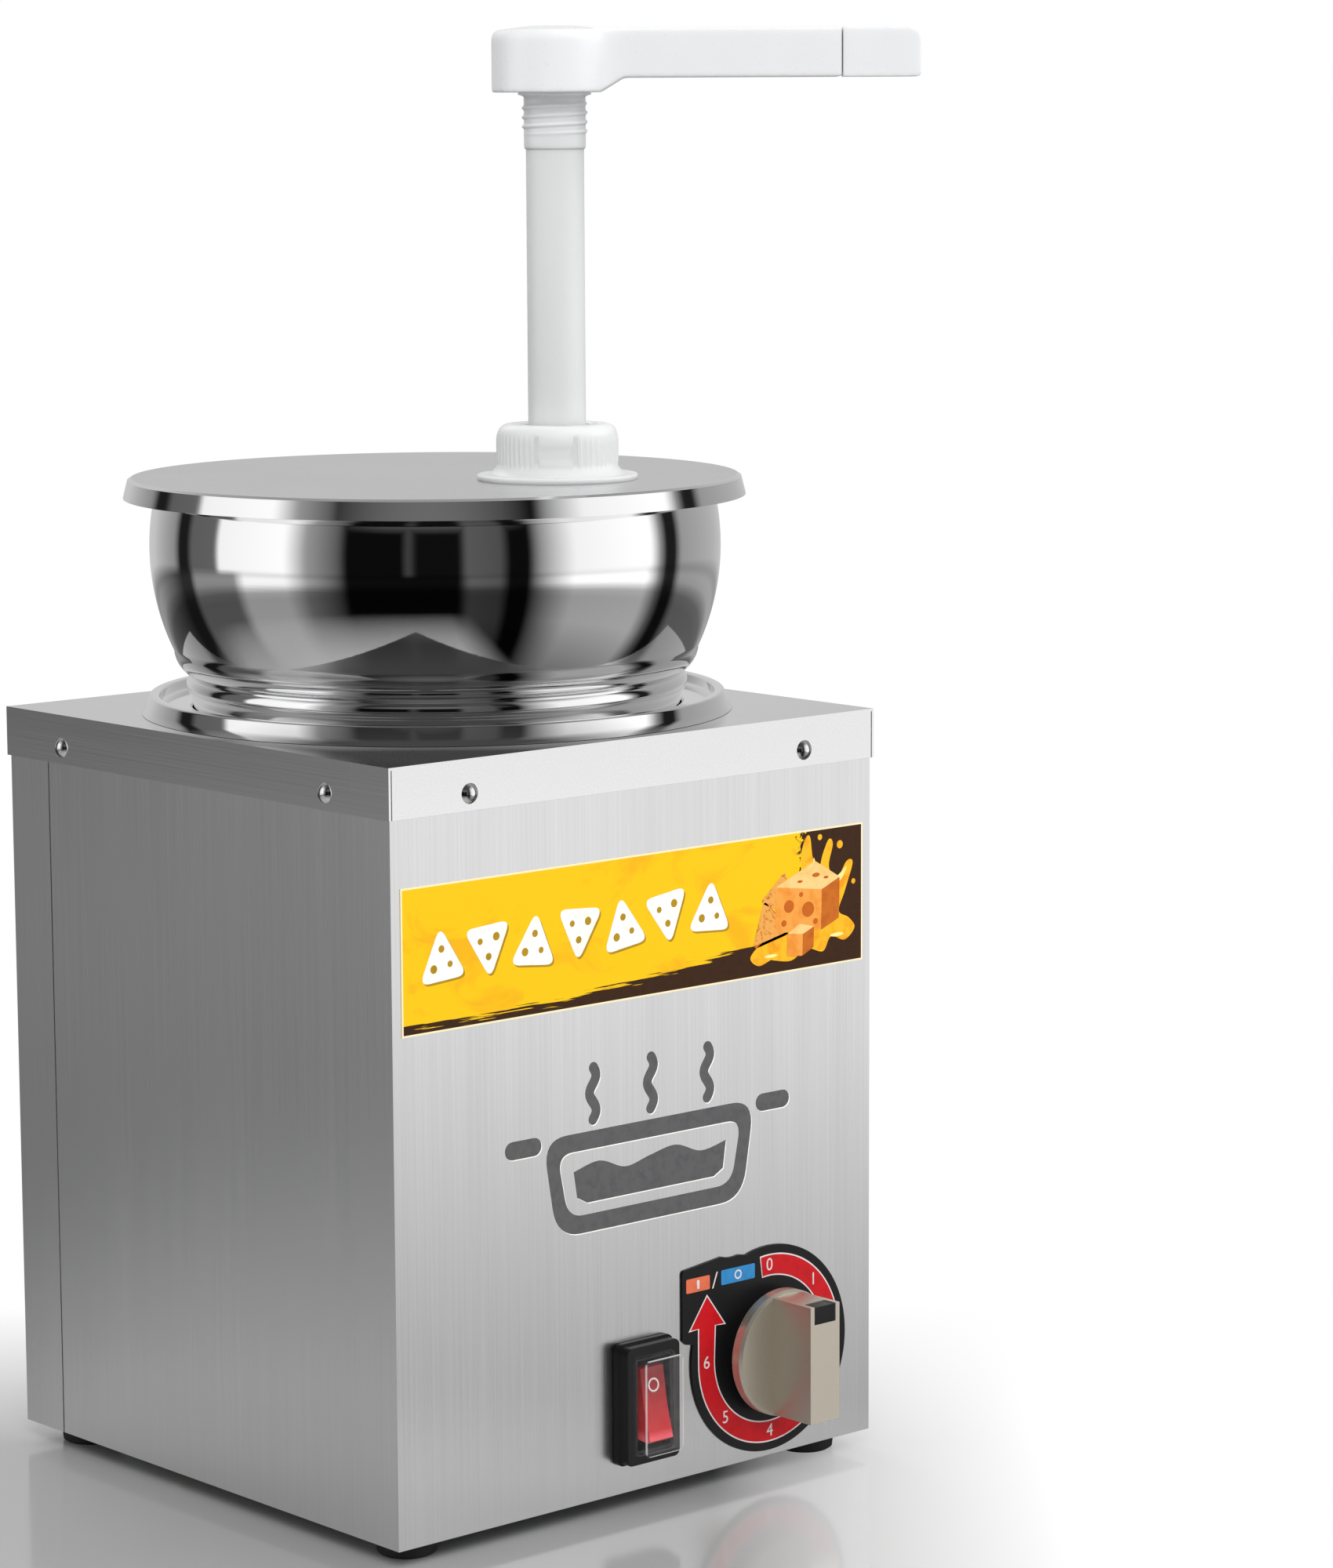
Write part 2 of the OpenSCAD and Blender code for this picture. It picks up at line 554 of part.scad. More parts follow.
// Flat disc with a flared lip, pierced for the pump's collar
module lid() color("silver") difference() {
    rotate_extrude() polygon([[0, lid_z], [0, lid_top], [lid_r - 2.8, lid_top], [lid_r - 1.6, lid_top - 0.8],
        [lid_r, lid_top - lid_lip], [lid_r - sheet, lid_top - lid_lip], [lid_r - 2.7, lid_top - 1.3],
        [lid_r - 3.2, lid_z]]);
    at_pump() translate([0, 0, lid_z - cut]) cylinder(h = sheet + 2 * cut, r = 18);
}

// ---------- pump ----------

// Flanged collar with a threaded boss below the lid and grip ribs above it
module pump_collar() color("whitesmoke") at_pump() difference() {
    union() {
        rotate_extrude() polygon(concat(
            [[barrel_r + 0.2, lid_z - 13], [17.6, lid_z - 13], [17.6, lid_top], [28.6, lid_top],
                [28.6, lid_top + flange_t - 0.6], [28, lid_top + flange_t], [collar_r, lid_top + flange_t]],
            arc([collar_r - 5, collar_top - 5], 5, 0, 90, 6),
            [[12.5, collar_top], [12.5, collar_top - 12], [barrel_r + 0.2, collar_top - 12]]));
        for (a = [0:9:351]) rotate(a) translate([collar_r - 0.5, -0.5, lid_top + flange_t - 0.2])
            cube([1, 1, 12.4]);
    }
    for (a = [-22, 22]) rotate(a + spout_dir - 90) translate([collar_r - 1, -0.7, lid_top + flange_t])
        cube([4, 1.4, 10]);
}

module lid_washer() color("gainsboro") at_pump() tube(25, 18.1, lid_z - 1.2, lid_z);

// Ring nut on the collar's boss, with four lugs
module lock_nut() color("whitesmoke") at_pump() {
    tube(22, 17.7, lid_z - 9, lid_z - 1.2);
    for (a = [0:90:270]) rotate(a) translate([21.5, -3, lid_z - 9]) cube([4, 6, 7.8]);
}

// Clear cylinder with four ribs and short marks between them
module barrel() color([0.95, 0.95, 0.95, 0.6]) at_pump() {
    tube(barrel_r, barrel_r - barrel_wall, seat_z, barrel_top);
    for (a = [45:90:315]) rotate(a) translate([barrel_r - 0.4, -0.7, seat_z + 4]) cube([1.4, 1.4, 128]);
    for (a = [0:90:270], k = [0:9]) rotate(a) translate([barrel_r - 0.4, -4, seat_z + 10 + 12 * k])
        cube([0.9, 8, 0.8]);
}

// Bottom valve: a tapered cage with a ball seat and an inlet mouth
module inlet_valve() color("whitesmoke") at_pump() {
    rotate_extrude() polygon([
        [ball_seat_r, barrel_z0], [8, barrel_z0], [10, barrel_z0 + 2], [10, barrel_z0 + 8],
        [barrel_r, seat_z], [barrel_r - barrel_wall - 0.1, seat_z], [barrel_r - barrel_wall - 0.1, seat_z + 3],
        [barrel_r - 4, seat_z + 3], [5, seat_z + 3], [5, barrel_z0 + 6], [ball_seat_r, barrel_z0 + 3.6]]);
    translate([-5.5, -0.8, seat_z + 1.2]) cube([11, 1.6, 1.8]);
}

seat_half = atan2(5 - ball_seat_r, 2.4);
function ball_rest(z_cone) = z_cone + (ball_r + 0.02) / sin(seat_half) - ball_seat_r / tan(seat_half);
module inlet_ball() color("silver") at_pump() translate([0, 0, ball_rest(barrel_z0 + 3.6)]) sphere(ball_r);

spring_r = 9.6;
spring_z0 = seat_z + 3.1;
spring_z1 = piston_z0 - 0.6;
spring_turns = 13;
spring_wire = 0.9;
spring_rise = spring_z1 - spring_z0 - 6 * spring_wire;
// Height of the wire's centre after t turns, the first and last turn closed
function spring_height(t) = spring_z0 + spring_wire + 2 * spring_wire * min(t, 1)
    + spring_rise * max(0, min(1, (t - 1) / (spring_turns - 2)))
    + 2 * spring_wire * max(0, t - spring_turns + 1);
module pump_spring() color("silver") at_pump() {
    steps = 16;
    swept_tube([for (i = [0:steps * spring_turns]) let (t = i / steps)
        [spring_r * cos(360 * t), spring_r * sin(360 * t), spring_height(t)]], spring_wire, 6);
}

// Piston with a ball seat and cage for the outlet ball, fixed on the tube's lower end
module piston() color("whitesmoke") at_pump() difference() {
    union() {
        rotate_extrude() polygon([[0, piston_z0], [12, piston_z0], [12, piston_z0 + 5], [11.4, piston_z0 + 5],
            [11.4, piston_z0 + 11], [12.6, piston_z0 + 11], [12.6, piston_z0 + 14], [0, piston_z0 + 14]]);
        translate([0, 0, piston_z0 + 14]) cylinder(h = 8, r = tube_bore - 0.02);
    }
    translate([0, 0, piston_z0 - cut]) cylinder(h = 30, r = ball_seat_r);
    translate([0, 0, piston_z0 + 6]) cylinder(h = 2.4, r1 = ball_seat_r, r2 = 5);
    difference() {
        translate([0, 0, piston_z0 + 8.4]) cylinder(h = 20, r = 5);
        translate([-6, -0.8, piston_z0 + 16.6]) cube([12, 1.6, 1.8]);
    }
}

module piston_seal() color("ivory") at_pump() rotate_extrude() polygon([[11.45, piston_z0 + 5.1],
    [piston_r + 0.22, piston_z0 + 5.1], [piston_r - 0.4, piston_z0 + 8], [piston_r + 0.22, piston_z0 + 10.9],
    [11.45, piston_z0 + 10.9]]);

module outlet_ball() color("silver") at_pump() translate([0, 0, ball_rest(piston_z0 + 6)]) sphere(ball_r);

module plunger_tube() color([0.96, 0.96, 0.96, 0.8]) at_pump() tube(tube_r, tube_bore, piston_z0 + 14, head_z0 + 9);

// Sleeve under the head whose ridges lock into the collar when the pump is pressed down
module lock_sleeve() color("whitesmoke") at_pump() difference() {
    union() {
        translate([0, 0, sleeve_z]) cylinder(h = 1, r1 = tube_r + 0.25, r2 = 11);
        translate([0, 0, sleeve_z + 1]) cylinder(h = 18, r = 11);
        translate([0, 0, head_z0 - 1.2]) cylinder(h = 1.2, r = 13.2);
        for (k = [0:3]) translate([0, 0, sleeve_z + 6 + 3.2 * k]) rotate_extrude()
            polygon([[10.6, 0], [12.1, 1], [12.1, 1.5], [10.6, 2.5]]);
    }
    translate([0, 0, sleeve_z - cut]) cylinder(h = 30, r = tube_r + 0.02);
}

module at_head() at_pump() rotate(spout_dir) children();

// Arm from above: a hollow-sided neck that grows out of the round hub
module arm_outline() {
    blend = 26;
    sink = 0.8;
    reach = sqrt(pow(hub_r + blend - sink, 2) - pow(arm_half + blend, 2));
    side = arc([reach, arm_half + blend], blend, 180 + atan2(arm_half + blend, reach), 270, 8);
    polygon(concat(side, [[tip_seam, arm_half], [tip_seam, -arm_half]],
        [for (i = [len(side) - 1:-1:0]) [side[i][0], -side[i][1]]]));
}

// Domed hub on the tube with a hollow arm; the underside steps up where the arm leaves the hub
module pump_head() color("white") at_head() difference() {
    union() {
        translate([0, 0, head_z0]) rotate_extrude() polygon(concat([[0, 0], [hub_r, 0]],
            arc([hub_r - 3.4, 23.3 - 4.6], 3.4, 0, 70, 5), [[8, 23.3], [0, 23.3]]));
        translate([0, 0, head_z0 + 1]) linear_extrude(21.5) arm_outline();
    }
    translate([0, 40, head_z0]) rotate([90, 0, 0]) linear_extrude(80)
        polygon([[16.5, -2], [16.5, 0], [24.7, 5], [spout_len, 5], [spout_len, -2]]);
    translate([0, 0, head_z0 - cut]) cylinder(h = 10 + cut, r = tube_r + 0.02);
    translate([0, 0, head_z0 + 5]) cylinder(h = channel_z - head_z0 - 5 + channel_r + 0.7, r = tube_bore);
    translate([0, 0, channel_z]) rotate([0, 90, 0]) cylinder(h = tip_seam + 2, r = channel_r);
}

// End piece of the arm with the outlet in its underside
module spout_tip() color("white") at_head() difference() {
    corner = 4;
    x0 = tip_seam + 0.3;
    translate([0, arm_half, arm_z0]) rotate([90, 0, 0]) linear_extrude(2 * arm_half) polygon(concat(
        [[x0, 0], [spout_len - 0.8, 0], [spout_len, 1]],
        arc([spout_len - corner, 17.6 - corner], corner, 0, 90, 5), [[x0, 17.6]]));
    translate([x0 - cut, 0, channel_z]) rotate([0, 90, 0]) cylinder(h = 13 + cut, r = channel_r);
    translate([outlet_x, 0, arm_z0 - cut]) cylinder(h = channel_z - arm_z0 + channel_r + 0.7 + cut, r = outlet_r);
}

casing_wrap();
rear_cover();
top_cover();
base_plate();
cover_screws();
rear_screws();
rubber_feet();
foot_screws();
foot_nuts();
water_well();
well_gasket();
heater_plate();
heating_element();
heater_clamp();
clamp_nut();
insulation_sleeve();
thermal_cutout();
sensing_bulb();
capillary_tube();
thermostat_body();
thermostat_screws();
thermostat_shaft();
dial_plate();
knob();
knob_pointer();
switch_bezel();
switch_body();
rocker();
rocker_pin();
switch_boot();
switch_tabs();
front_label();
cord_gland();
gland_nut();
terminal_block();
terminal_screws();
earth_stud();
live_wires();
neutral_wires();
earth_wire();
pot();
lid();
pump_collar();
lid_washer();
lock_nut();
barrel();
inlet_valve();
inlet_ball();
pump_spring();
piston();
piston_seal();
outlet_ball();
plunger_tube();
lock_sleeve();
pump_head();
spout_tip();
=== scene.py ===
"""Looks of a heated cheese dispenser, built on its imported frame. Metres; lengths in mm are scaled by MM."""
import json
import math

import bmesh
import bpy
from mathutils import Matrix, Vector, geometry


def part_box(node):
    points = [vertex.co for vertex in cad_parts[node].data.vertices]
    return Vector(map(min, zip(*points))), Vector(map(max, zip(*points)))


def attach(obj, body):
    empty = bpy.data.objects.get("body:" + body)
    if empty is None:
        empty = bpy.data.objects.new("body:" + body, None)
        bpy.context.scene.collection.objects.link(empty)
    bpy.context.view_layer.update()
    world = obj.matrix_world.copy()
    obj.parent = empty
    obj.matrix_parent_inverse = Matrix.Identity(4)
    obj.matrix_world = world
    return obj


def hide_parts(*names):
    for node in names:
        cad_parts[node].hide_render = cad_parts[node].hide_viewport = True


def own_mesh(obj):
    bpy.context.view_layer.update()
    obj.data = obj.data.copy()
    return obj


MM = 0.001
FRONT = -112.0  # face of the front panel
DX, DZ = 60.6, 47.5  # knob's axis
LZ = 211.0  # middle height of the front film
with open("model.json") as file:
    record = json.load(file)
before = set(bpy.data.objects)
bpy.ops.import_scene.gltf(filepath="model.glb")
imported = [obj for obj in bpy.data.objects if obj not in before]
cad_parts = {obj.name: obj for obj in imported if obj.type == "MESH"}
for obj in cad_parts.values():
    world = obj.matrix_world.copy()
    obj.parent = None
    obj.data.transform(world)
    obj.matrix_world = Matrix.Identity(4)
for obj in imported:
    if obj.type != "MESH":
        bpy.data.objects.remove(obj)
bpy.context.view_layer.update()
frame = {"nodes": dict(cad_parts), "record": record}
nodes = frame["nodes"]
scene = bpy.context.scene
scene.view_settings.view_transform = "Standard"

# ---------- camera ----------

PAN, TILT, ROLL = math.radians(41.81), math.radians(8.254), -0.0046
CAMERA_AT = (-1.0742, -1.3267, 0.4965)
PAN_SIN, PAN_COS = 0.667, 0.745  # of the set's turn, as the floor and the studio use it
cam_data = bpy.data.cameras.new("camera")
cam_data.sensor_width = 36
cam_data.lens = 107.53
cam_data.clip_start = 0.05
cam = bpy.data.objects.new("camera", cam_data)
scene.collection.objects.link(cam)
cam.matrix_world = (
    Matrix.Translation(CAMERA_AT)
    @ Matrix.Rotation(-PAN, 4, "Z")
    @ Matrix.Rotation(math.pi / 2 - TILT, 4, "X")
    @ Matrix.Rotation(ROLL, 4, "Z")
)
scene.camera = cam

# ---------- node-graph helpers ----------


def srgb(r, g, b):
    return tuple((c / 255 / 12.92) if c < 10.3 else ((c / 255 + 0.055) / 1.055) ** 2.4 for c in (r, g, b)) + (1,)


def shade(tone, k):
    """The tone made k times as bright."""
    return tuple(c * k for c in tone[:3]) + (1,)


class Graph:
    """Short calls for adding nodes to a material or a world."""

    def __init__(self, tree):
        self.tree = tree
        tree.nodes.clear()

    def node(self, kind, inputs=None, **props):
        n = self.tree.nodes.new(kind)
        for k, v in props.items():
            setattr(n, k, v)
        for k, v in (inputs or {}).items():
            self.put(n, k, v)
        return n

    def put(self, n, key, value):
        socket = n.inputs[key]
        if isinstance(value, bpy.types.NodeSocket):
            self.tree.links.new(value, socket)
        else:
            socket.default_value = value

    def math(self, op, a, b=0.0, c=0.0, clamp=False):
        return self.node("ShaderNodeMath", {0: a, 1: b, 2: c}, operation=op, use_clamp=clamp).outputs[0]

    def length(self, u, v):
        return self.math("SQRT", self.math("ADD", self.math("MULTIPLY", u, u), self.math("MULTIPLY", v, v)))

    def step(self, value, low, high, to_low=0.0, to_high=1.0):
        n = self.node("ShaderNodeMapRange", {"Value": value, "From Min": low, "From Max": high,
                                             "To Min": to_low, "To Max": to_high}, clamp=True)
        return n.outputs["Result"]

    def mix(self, factor, a, b, blend="MIX"):
        n = self.node("ShaderNodeMix", data_type="RGBA", blend_type=blend)
        self.put(n, 0, factor)
        self.put(n, 6, a)
        self.put(n, 7, b)
        return n.outputs[2]

    def ramp(self, value, stops, interpolation="LINEAR"):
        n = self.node("ShaderNodeValToRGB", {"Fac": value})
        n.color_ramp.interpolation = interpolation
        elements = n.color_ramp.elements
        while len(elements) < len(stops):
            elements.new(1.0)
        for e, (at, colour) in zip(elements, stops):
            e.position = at
            e.color = colour if isinstance(colour, tuple) else (colour, colour, colour, 1)
        return n.outputs["Color"]

    def coords(self, scale=(1, 1, 1), rotation=(0, 0, 0)):
        c = self.node("ShaderNodeTexCoord").outputs["Object"]
        return self.node("ShaderNodeMapping", {"Vector": c, "Scale": scale, "Rotation": rotation}).outputs[0]

    def xyz(self):
        c = self.node("ShaderNodeTexCoord").outputs["Object"]
        return self.node("ShaderNodeSeparateXYZ", {0: c}).outputs

    def noise(self, vector, scale=1.0, detail=2.0, roughness=0.5, distortion=0.0):
        return self.node("ShaderNodeTexNoise", {"Vector": vector, "Scale": scale, "Detail": detail,
                                                "Roughness": roughness, "Distortion": distortion}).outputs["Fac"]

    def bump(self, height, strength, distance, normal=None):
        inputs = {"Height": height, "Strength": strength, "Distance": distance}
        if normal is not None:
            inputs["Normal"] = normal
        return self.node("ShaderNodeBump", inputs).outputs["Normal"]


def material(name):
    m = bpy.data.materials.new(name)
    m.use_nodes = True
    return m, Graph(m.node_tree)


def finish(m, g, **sockets):
    names = {"color": "Base Color", "metal": "Metallic", "rough": "Roughness", "normal": "Normal", "ior": "IOR",
             "alpha": "Alpha", "transmission": "Transmission Weight", "coat": "Coat Weight",
             "coat_rough": "Coat Roughness", "sss": "Subsurface Weight", "sss_radius": "Subsurface Radius",
             "sss_scale": "Subsurface Scale", "aniso": "Anisotropic", "tangent": "Tangent",
             "glow": "Emission Color", "glow_strength": "Emission Strength", "specular": "Specular IOR Level",
             "sheen": "Sheen Weight"}
    shader = g.node("ShaderNodeBsdfPrincipled", {names[k]: v for k, v in sockets.items()})
    g.node("ShaderNodeOutputMaterial", {"Surface": shader.outputs[0]})
    m.diffuse_color = (0.8, 0.8, 0.8, 1)
    return m


# ---------- materials ----------


def brushed(name, tone, rough, grain=(1400, 1400, 9), aniso=0.6, wear=0.025):
    """Sheet stainless with a straight vertical grain, faint smears and short scratches."""
    m, g = material(name)
    fine = g.noise(g.coords(grain), 1.0, 3.0, 0.6)
    broad = g.noise(g.coords(tuple(v / 9 for v in grain)), 1.0, 2.0)
    smear = g.noise(g.coords((9, 9, 4)), 1.0, 3.0, 0.55, 0.4)
    scratch = g.step(g.noise(g.coords((700, 700, 34)), 1.0, 1.0), 0.69, 0.74)
    tint = g.mix(g.step(fine, 0.3, 0.7), shade(tone, 0.93), tone)
    tint = g.mix(g.math("MULTIPLY", g.step(smear, 0.45, 0.75), 0.05), tint, shade(tone, 0.8))
    roughness = g.math("ADD", g.step(broad, 0.25, 0.75, rough - 0.012, rough + 0.015),
                       g.math("MULTIPLY", g.step(smear, 0.4, 0.8), wear))
    height = g.math("SUBTRACT", fine, g.math("MULTIPLY", scratch, 0.8))
    return finish(m, g, color=tint, metal=1.0, rough=roughness, aniso=aniso,
                  tangent=g.node("ShaderNodeTangent", direction_type="RADIAL", axis="Z").outputs[0],
                  normal=g.bump(height, 0.06, 0.00012))


def polished(name, tone, rough, lines=0.02):
    """Bright formed stainless: hairlines run round the vertical axis, with faint wipe marks."""
    m, g = material(name)
    hair = g.noise(g.coords((5, 5, 2600)), 1.0, 2.0)
    wipe = g.noise(g.coords((16, 16, 24)), 1.0, 4.0, 0.6, 0.8)
    roughness = g.math("ADD", g.step(hair, 0.3, 0.7, rough, rough + 0.02),
                       g.math("MULTIPLY", g.step(wipe, 0.5, 0.8), 0.03))
    return finish(m, g, color=tone, metal=1.0, rough=roughness, normal=g.bump(hair, lines, 0.00008))


def lid_material():
    """Spun satin on the flat top, polished round the lip."""
    m, g = material("lid_steel")
    x, y, z = g.xyz()[:3]
    radius = g.length(x, y)
    spun = g.node("ShaderNodeTexNoise", {"W": g.math("MULTIPLY", radius, 2600.0), "Scale": 1.0, "Detail": 2.0},
                  noise_dimensions="1D").outputs["Fac"]
    cloud = g.noise(g.coords((14, 14, 14)), 1.0, 3.0, 0.5, 0.5)
    flat = g.math("MULTIPLY", g.step(radius, 0.1098, 0.1104, 1.0, 0.0), g.step(z, 0.3629, 0.3634))
    satin = g.math("ADD", g.step(spun, 0.3, 0.7, 0.25, 0.31), g.math("MULTIPLY", cloud, 0.05))
    roughness = g.math("ADD", g.math("MULTIPLY", flat, satin),
                       g.math("MULTIPLY", g.math("SUBTRACT", 1.0, flat), 0.07))
    return finish(m, g, color=g.mix(flat, (0.92, 0.92, 0.925, 1), (0.86, 0.86, 0.865, 1)), metal=1.0,
                  rough=roughness, normal=g.bump(g.math("MULTIPLY", spun, flat), 0.03, 0.00008))


def plastic(name, tone, rough, grain=900, bump=0.03, vary=0.05, **more):
    """Moulded plastic: fine skin texture, slight flow marks in the tone."""
    m, g = material(name)
    skin = g.noise(g.coords((grain,) * 3), 1.0, 3.0)
    flow = g.noise(g.coords((30, 30, 12)), 1.0, 3.0, 0.5, 0.6)
    tint = g.mix(g.step(flow, 0.35, 0.7), tone, shade(tone, 1 - vary))
    return finish(m, g, color=tint, rough=g.step(skin, 0.3, 0.7, rough - 0.03, rough + 0.04),
                  normal=g.bump(skin, bump, 0.0001), **more)


def wool(name, tone):
    m, g = material(name)
    fibres = g.noise(g.coords((160, 160, 600)), 1.0, 5.0, 0.7, 1.2)
    return finish(m, g, color=g.mix(fibres, tone, shade(tone, 0.7)), rough=0.95,
                  normal=g.bump(fibres, 0.6, 0.0008), sheen=0.3)


def label_material():
    """Printed film: yellow with an orange wash, a dry dark-brown brush stroke along the foot and the right end."""
    m, g = material("label_print")
    x, y, z = g.xyz()[:3]
    v = g.math("SUBTRACT", z, LZ * MM)
    bristle = g.noise(g.coords((34, 1, 900), (0, -0.115, 0)), 1.0, 3.0, 0.6)
    torn = g.noise(g.coords((420, 1, 420)), 1.0, 4.0, 0.65, 0.4)
    wash = g.noise(g.coords((26, 1, 40), (0, 0.3, 0)), 1.0, 4.0, 0.6, 1.0)
    sweep = g.math("MULTIPLY_ADD", g.math("MULTIPLY", x, x), 0.55, g.math("MULTIPLY_ADD", x, 0.085, -0.0192))
    foot = g.math("SUBTRACT", g.math("MULTIPLY_ADD", g.math("SUBTRACT", bristle, 0.5), 0.011, sweep), v)
    end = g.math("MULTIPLY_ADD", g.math("SUBTRACT", torn, 0.5), 0.026, g.math("SUBTRACT", x, 0.0775))
    dark = g.step(g.math("MAXIMUM", foot, end), 0.0, 0.0004)
    yellow = g.mix(g.step(wash, 0.52, 0.62), srgb(244, 194, 8), srgb(238, 176, 14))
    brown = g.mix(torn, srgb(46, 24, 8), srgb(66, 38, 16))
    edge = g.math("MAXIMUM", g.math("ABSOLUTE", x), g.math("ADD", g.math("ABSOLUTE", v), 0.0825))
    tint = g.mix(g.step(edge, 0.1073, 0.1074), g.mix(dark, yellow, brown), srgb(250, 232, 190))
    return finish(m, g, color=tint, rough=0.42, specular=0.2,
                  normal=g.bump(g.noise(g.coords((600, 600, 600)), 1.0, 2.0), 0.02, 0.0001))


def printed(name, tone, other=None, scale=260, low=0.45, high=0.65, rough=0.34):
    """Screen-printed ink with a slight change of tone across it."""
    m, g = material(name)
    blot = g.noise(g.coords((scale, scale, scale)), 1.0, 4.0, 0.6, 0.4)
    tint = g.mix(g.step(blot, low, high), tone, other or shade(tone, 0.86))
    return finish(m, g, color=tint, rough=rough, specular=0.2, normal=g.bump(blot, 0.03, 0.00005))


def champagne():
    """Satin metallic paint: turned rings round the knob's axis and fine flake."""
    m, g = material("knob_champagne")
    x, y, z = g.xyz()[:3]
    radius = g.length(g.math("SUBTRACT", x, DX * MM), g.math("SUBTRACT", z, DZ * MM))
    rings = g.node("ShaderNodeTexNoise", {"W": g.math("MULTIPLY", radius, 5200.0), "Scale": 1.0, "Detail": 2.0},
                   noise_dimensions="1D").outputs["Fac"]
    flake = g.noise(g.coords((2600,) * 3), 1.0, 1.0)
    tint = g.mix(flake, (0.80, 0.735, 0.62, 1), (0.68, 0.62, 0.515, 1))
    return finish(m, g, color=tint, metal=0.85, rough=g.step(rings, 0.3, 0.7, 0.34, 0.42),
                  normal=g.bump(rings, 0.05, 0.0001))


def rocker_material():
    """Red polycarbonate with painted light: painted shade at the pressed half, brighter down its slope, a painted
    highlight at the raised end, and a faint painted glow.
    """
    m, g = material("rocker_red")
    z = g.xyz()[2]
    depth = g.noise(g.coords((120, 120, 60)), 1.0, 2.0)
    # Painted light: the colour ramp up the rocker is dark painted shade at the pressed top and a pale painted highlight
    # at the raised lower end.
    painted_light_red = g.ramp(g.step(z, 0.025, 0.054), [(0.0, (0.80, 0.16, 0.19, 1)), (0.12, (0.78, 0.10, 0.13, 1)),
                                           (0.2, (0.50, 0.006, 0.012, 1)), (0.5, (0.34, 0.003, 0.006, 1)),
                                           (0.8, (0.16, 0.002, 0.004, 1)), (1.0, (0.10, 0.001, 0.003, 1))])
    tint = g.mix(g.math("MULTIPLY", depth, 0.35), painted_light_red, (0.30, 0.002, 0.004, 1))
    # The faint red emission is a painted glow, not a lamp.
    return finish(m, g, color=tint, rough=0.14, specular=0.3, glow=(0.9, 0.02, 0.03, 1), glow_strength=0.05,
                  normal=g.bump(depth, 0.03, 0.0003))


def boot_material():
    """Clear cover, almost unseen on its faces, with painted highlights: whiter, less clear lines along the rims of its
    front face.
    """
    m, g = material("clear_boot")
    x, y, z = g.xyz()[:3]
    lo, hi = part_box("switch_boot")
    side = g.math("SUBTRACT", (hi.x - lo.x) / 2, g.math("ABSOLUTE", g.math("SUBTRACT", x, (lo.x + hi.x) / 2)))
    end = g.math("SUBTRACT", (hi.z - lo.z) / 2, g.math("ABSOLUTE", g.math("SUBTRACT", z, (lo.z + hi.z) / 2)))
    # Painted highlight: the rim lines of the front face are made more opaque white to stand for the cover's edge
    # glints.
    painted_highlight_rim = g.step(g.math("MINIMUM", side, end), 0.0007, 0.0012, 1.0, 0.0)
    face = g.step(y, lo.y + 0.0009, lo.y + 0.0005)
    cloud = g.noise(g.coords((300, 300, 300)), 1.0, 2.0)
    alpha = g.math("ADD", g.step(cloud, 0.3, 0.7, 0.015, 0.03),
                   g.math("MULTIPLY", g.math("MULTIPLY", painted_highlight_rim, face), 0.55))
    return finish(m, g, color=(0.97, 0.97, 0.97, 1), rough=0.05, alpha=alpha, specular=0.5)


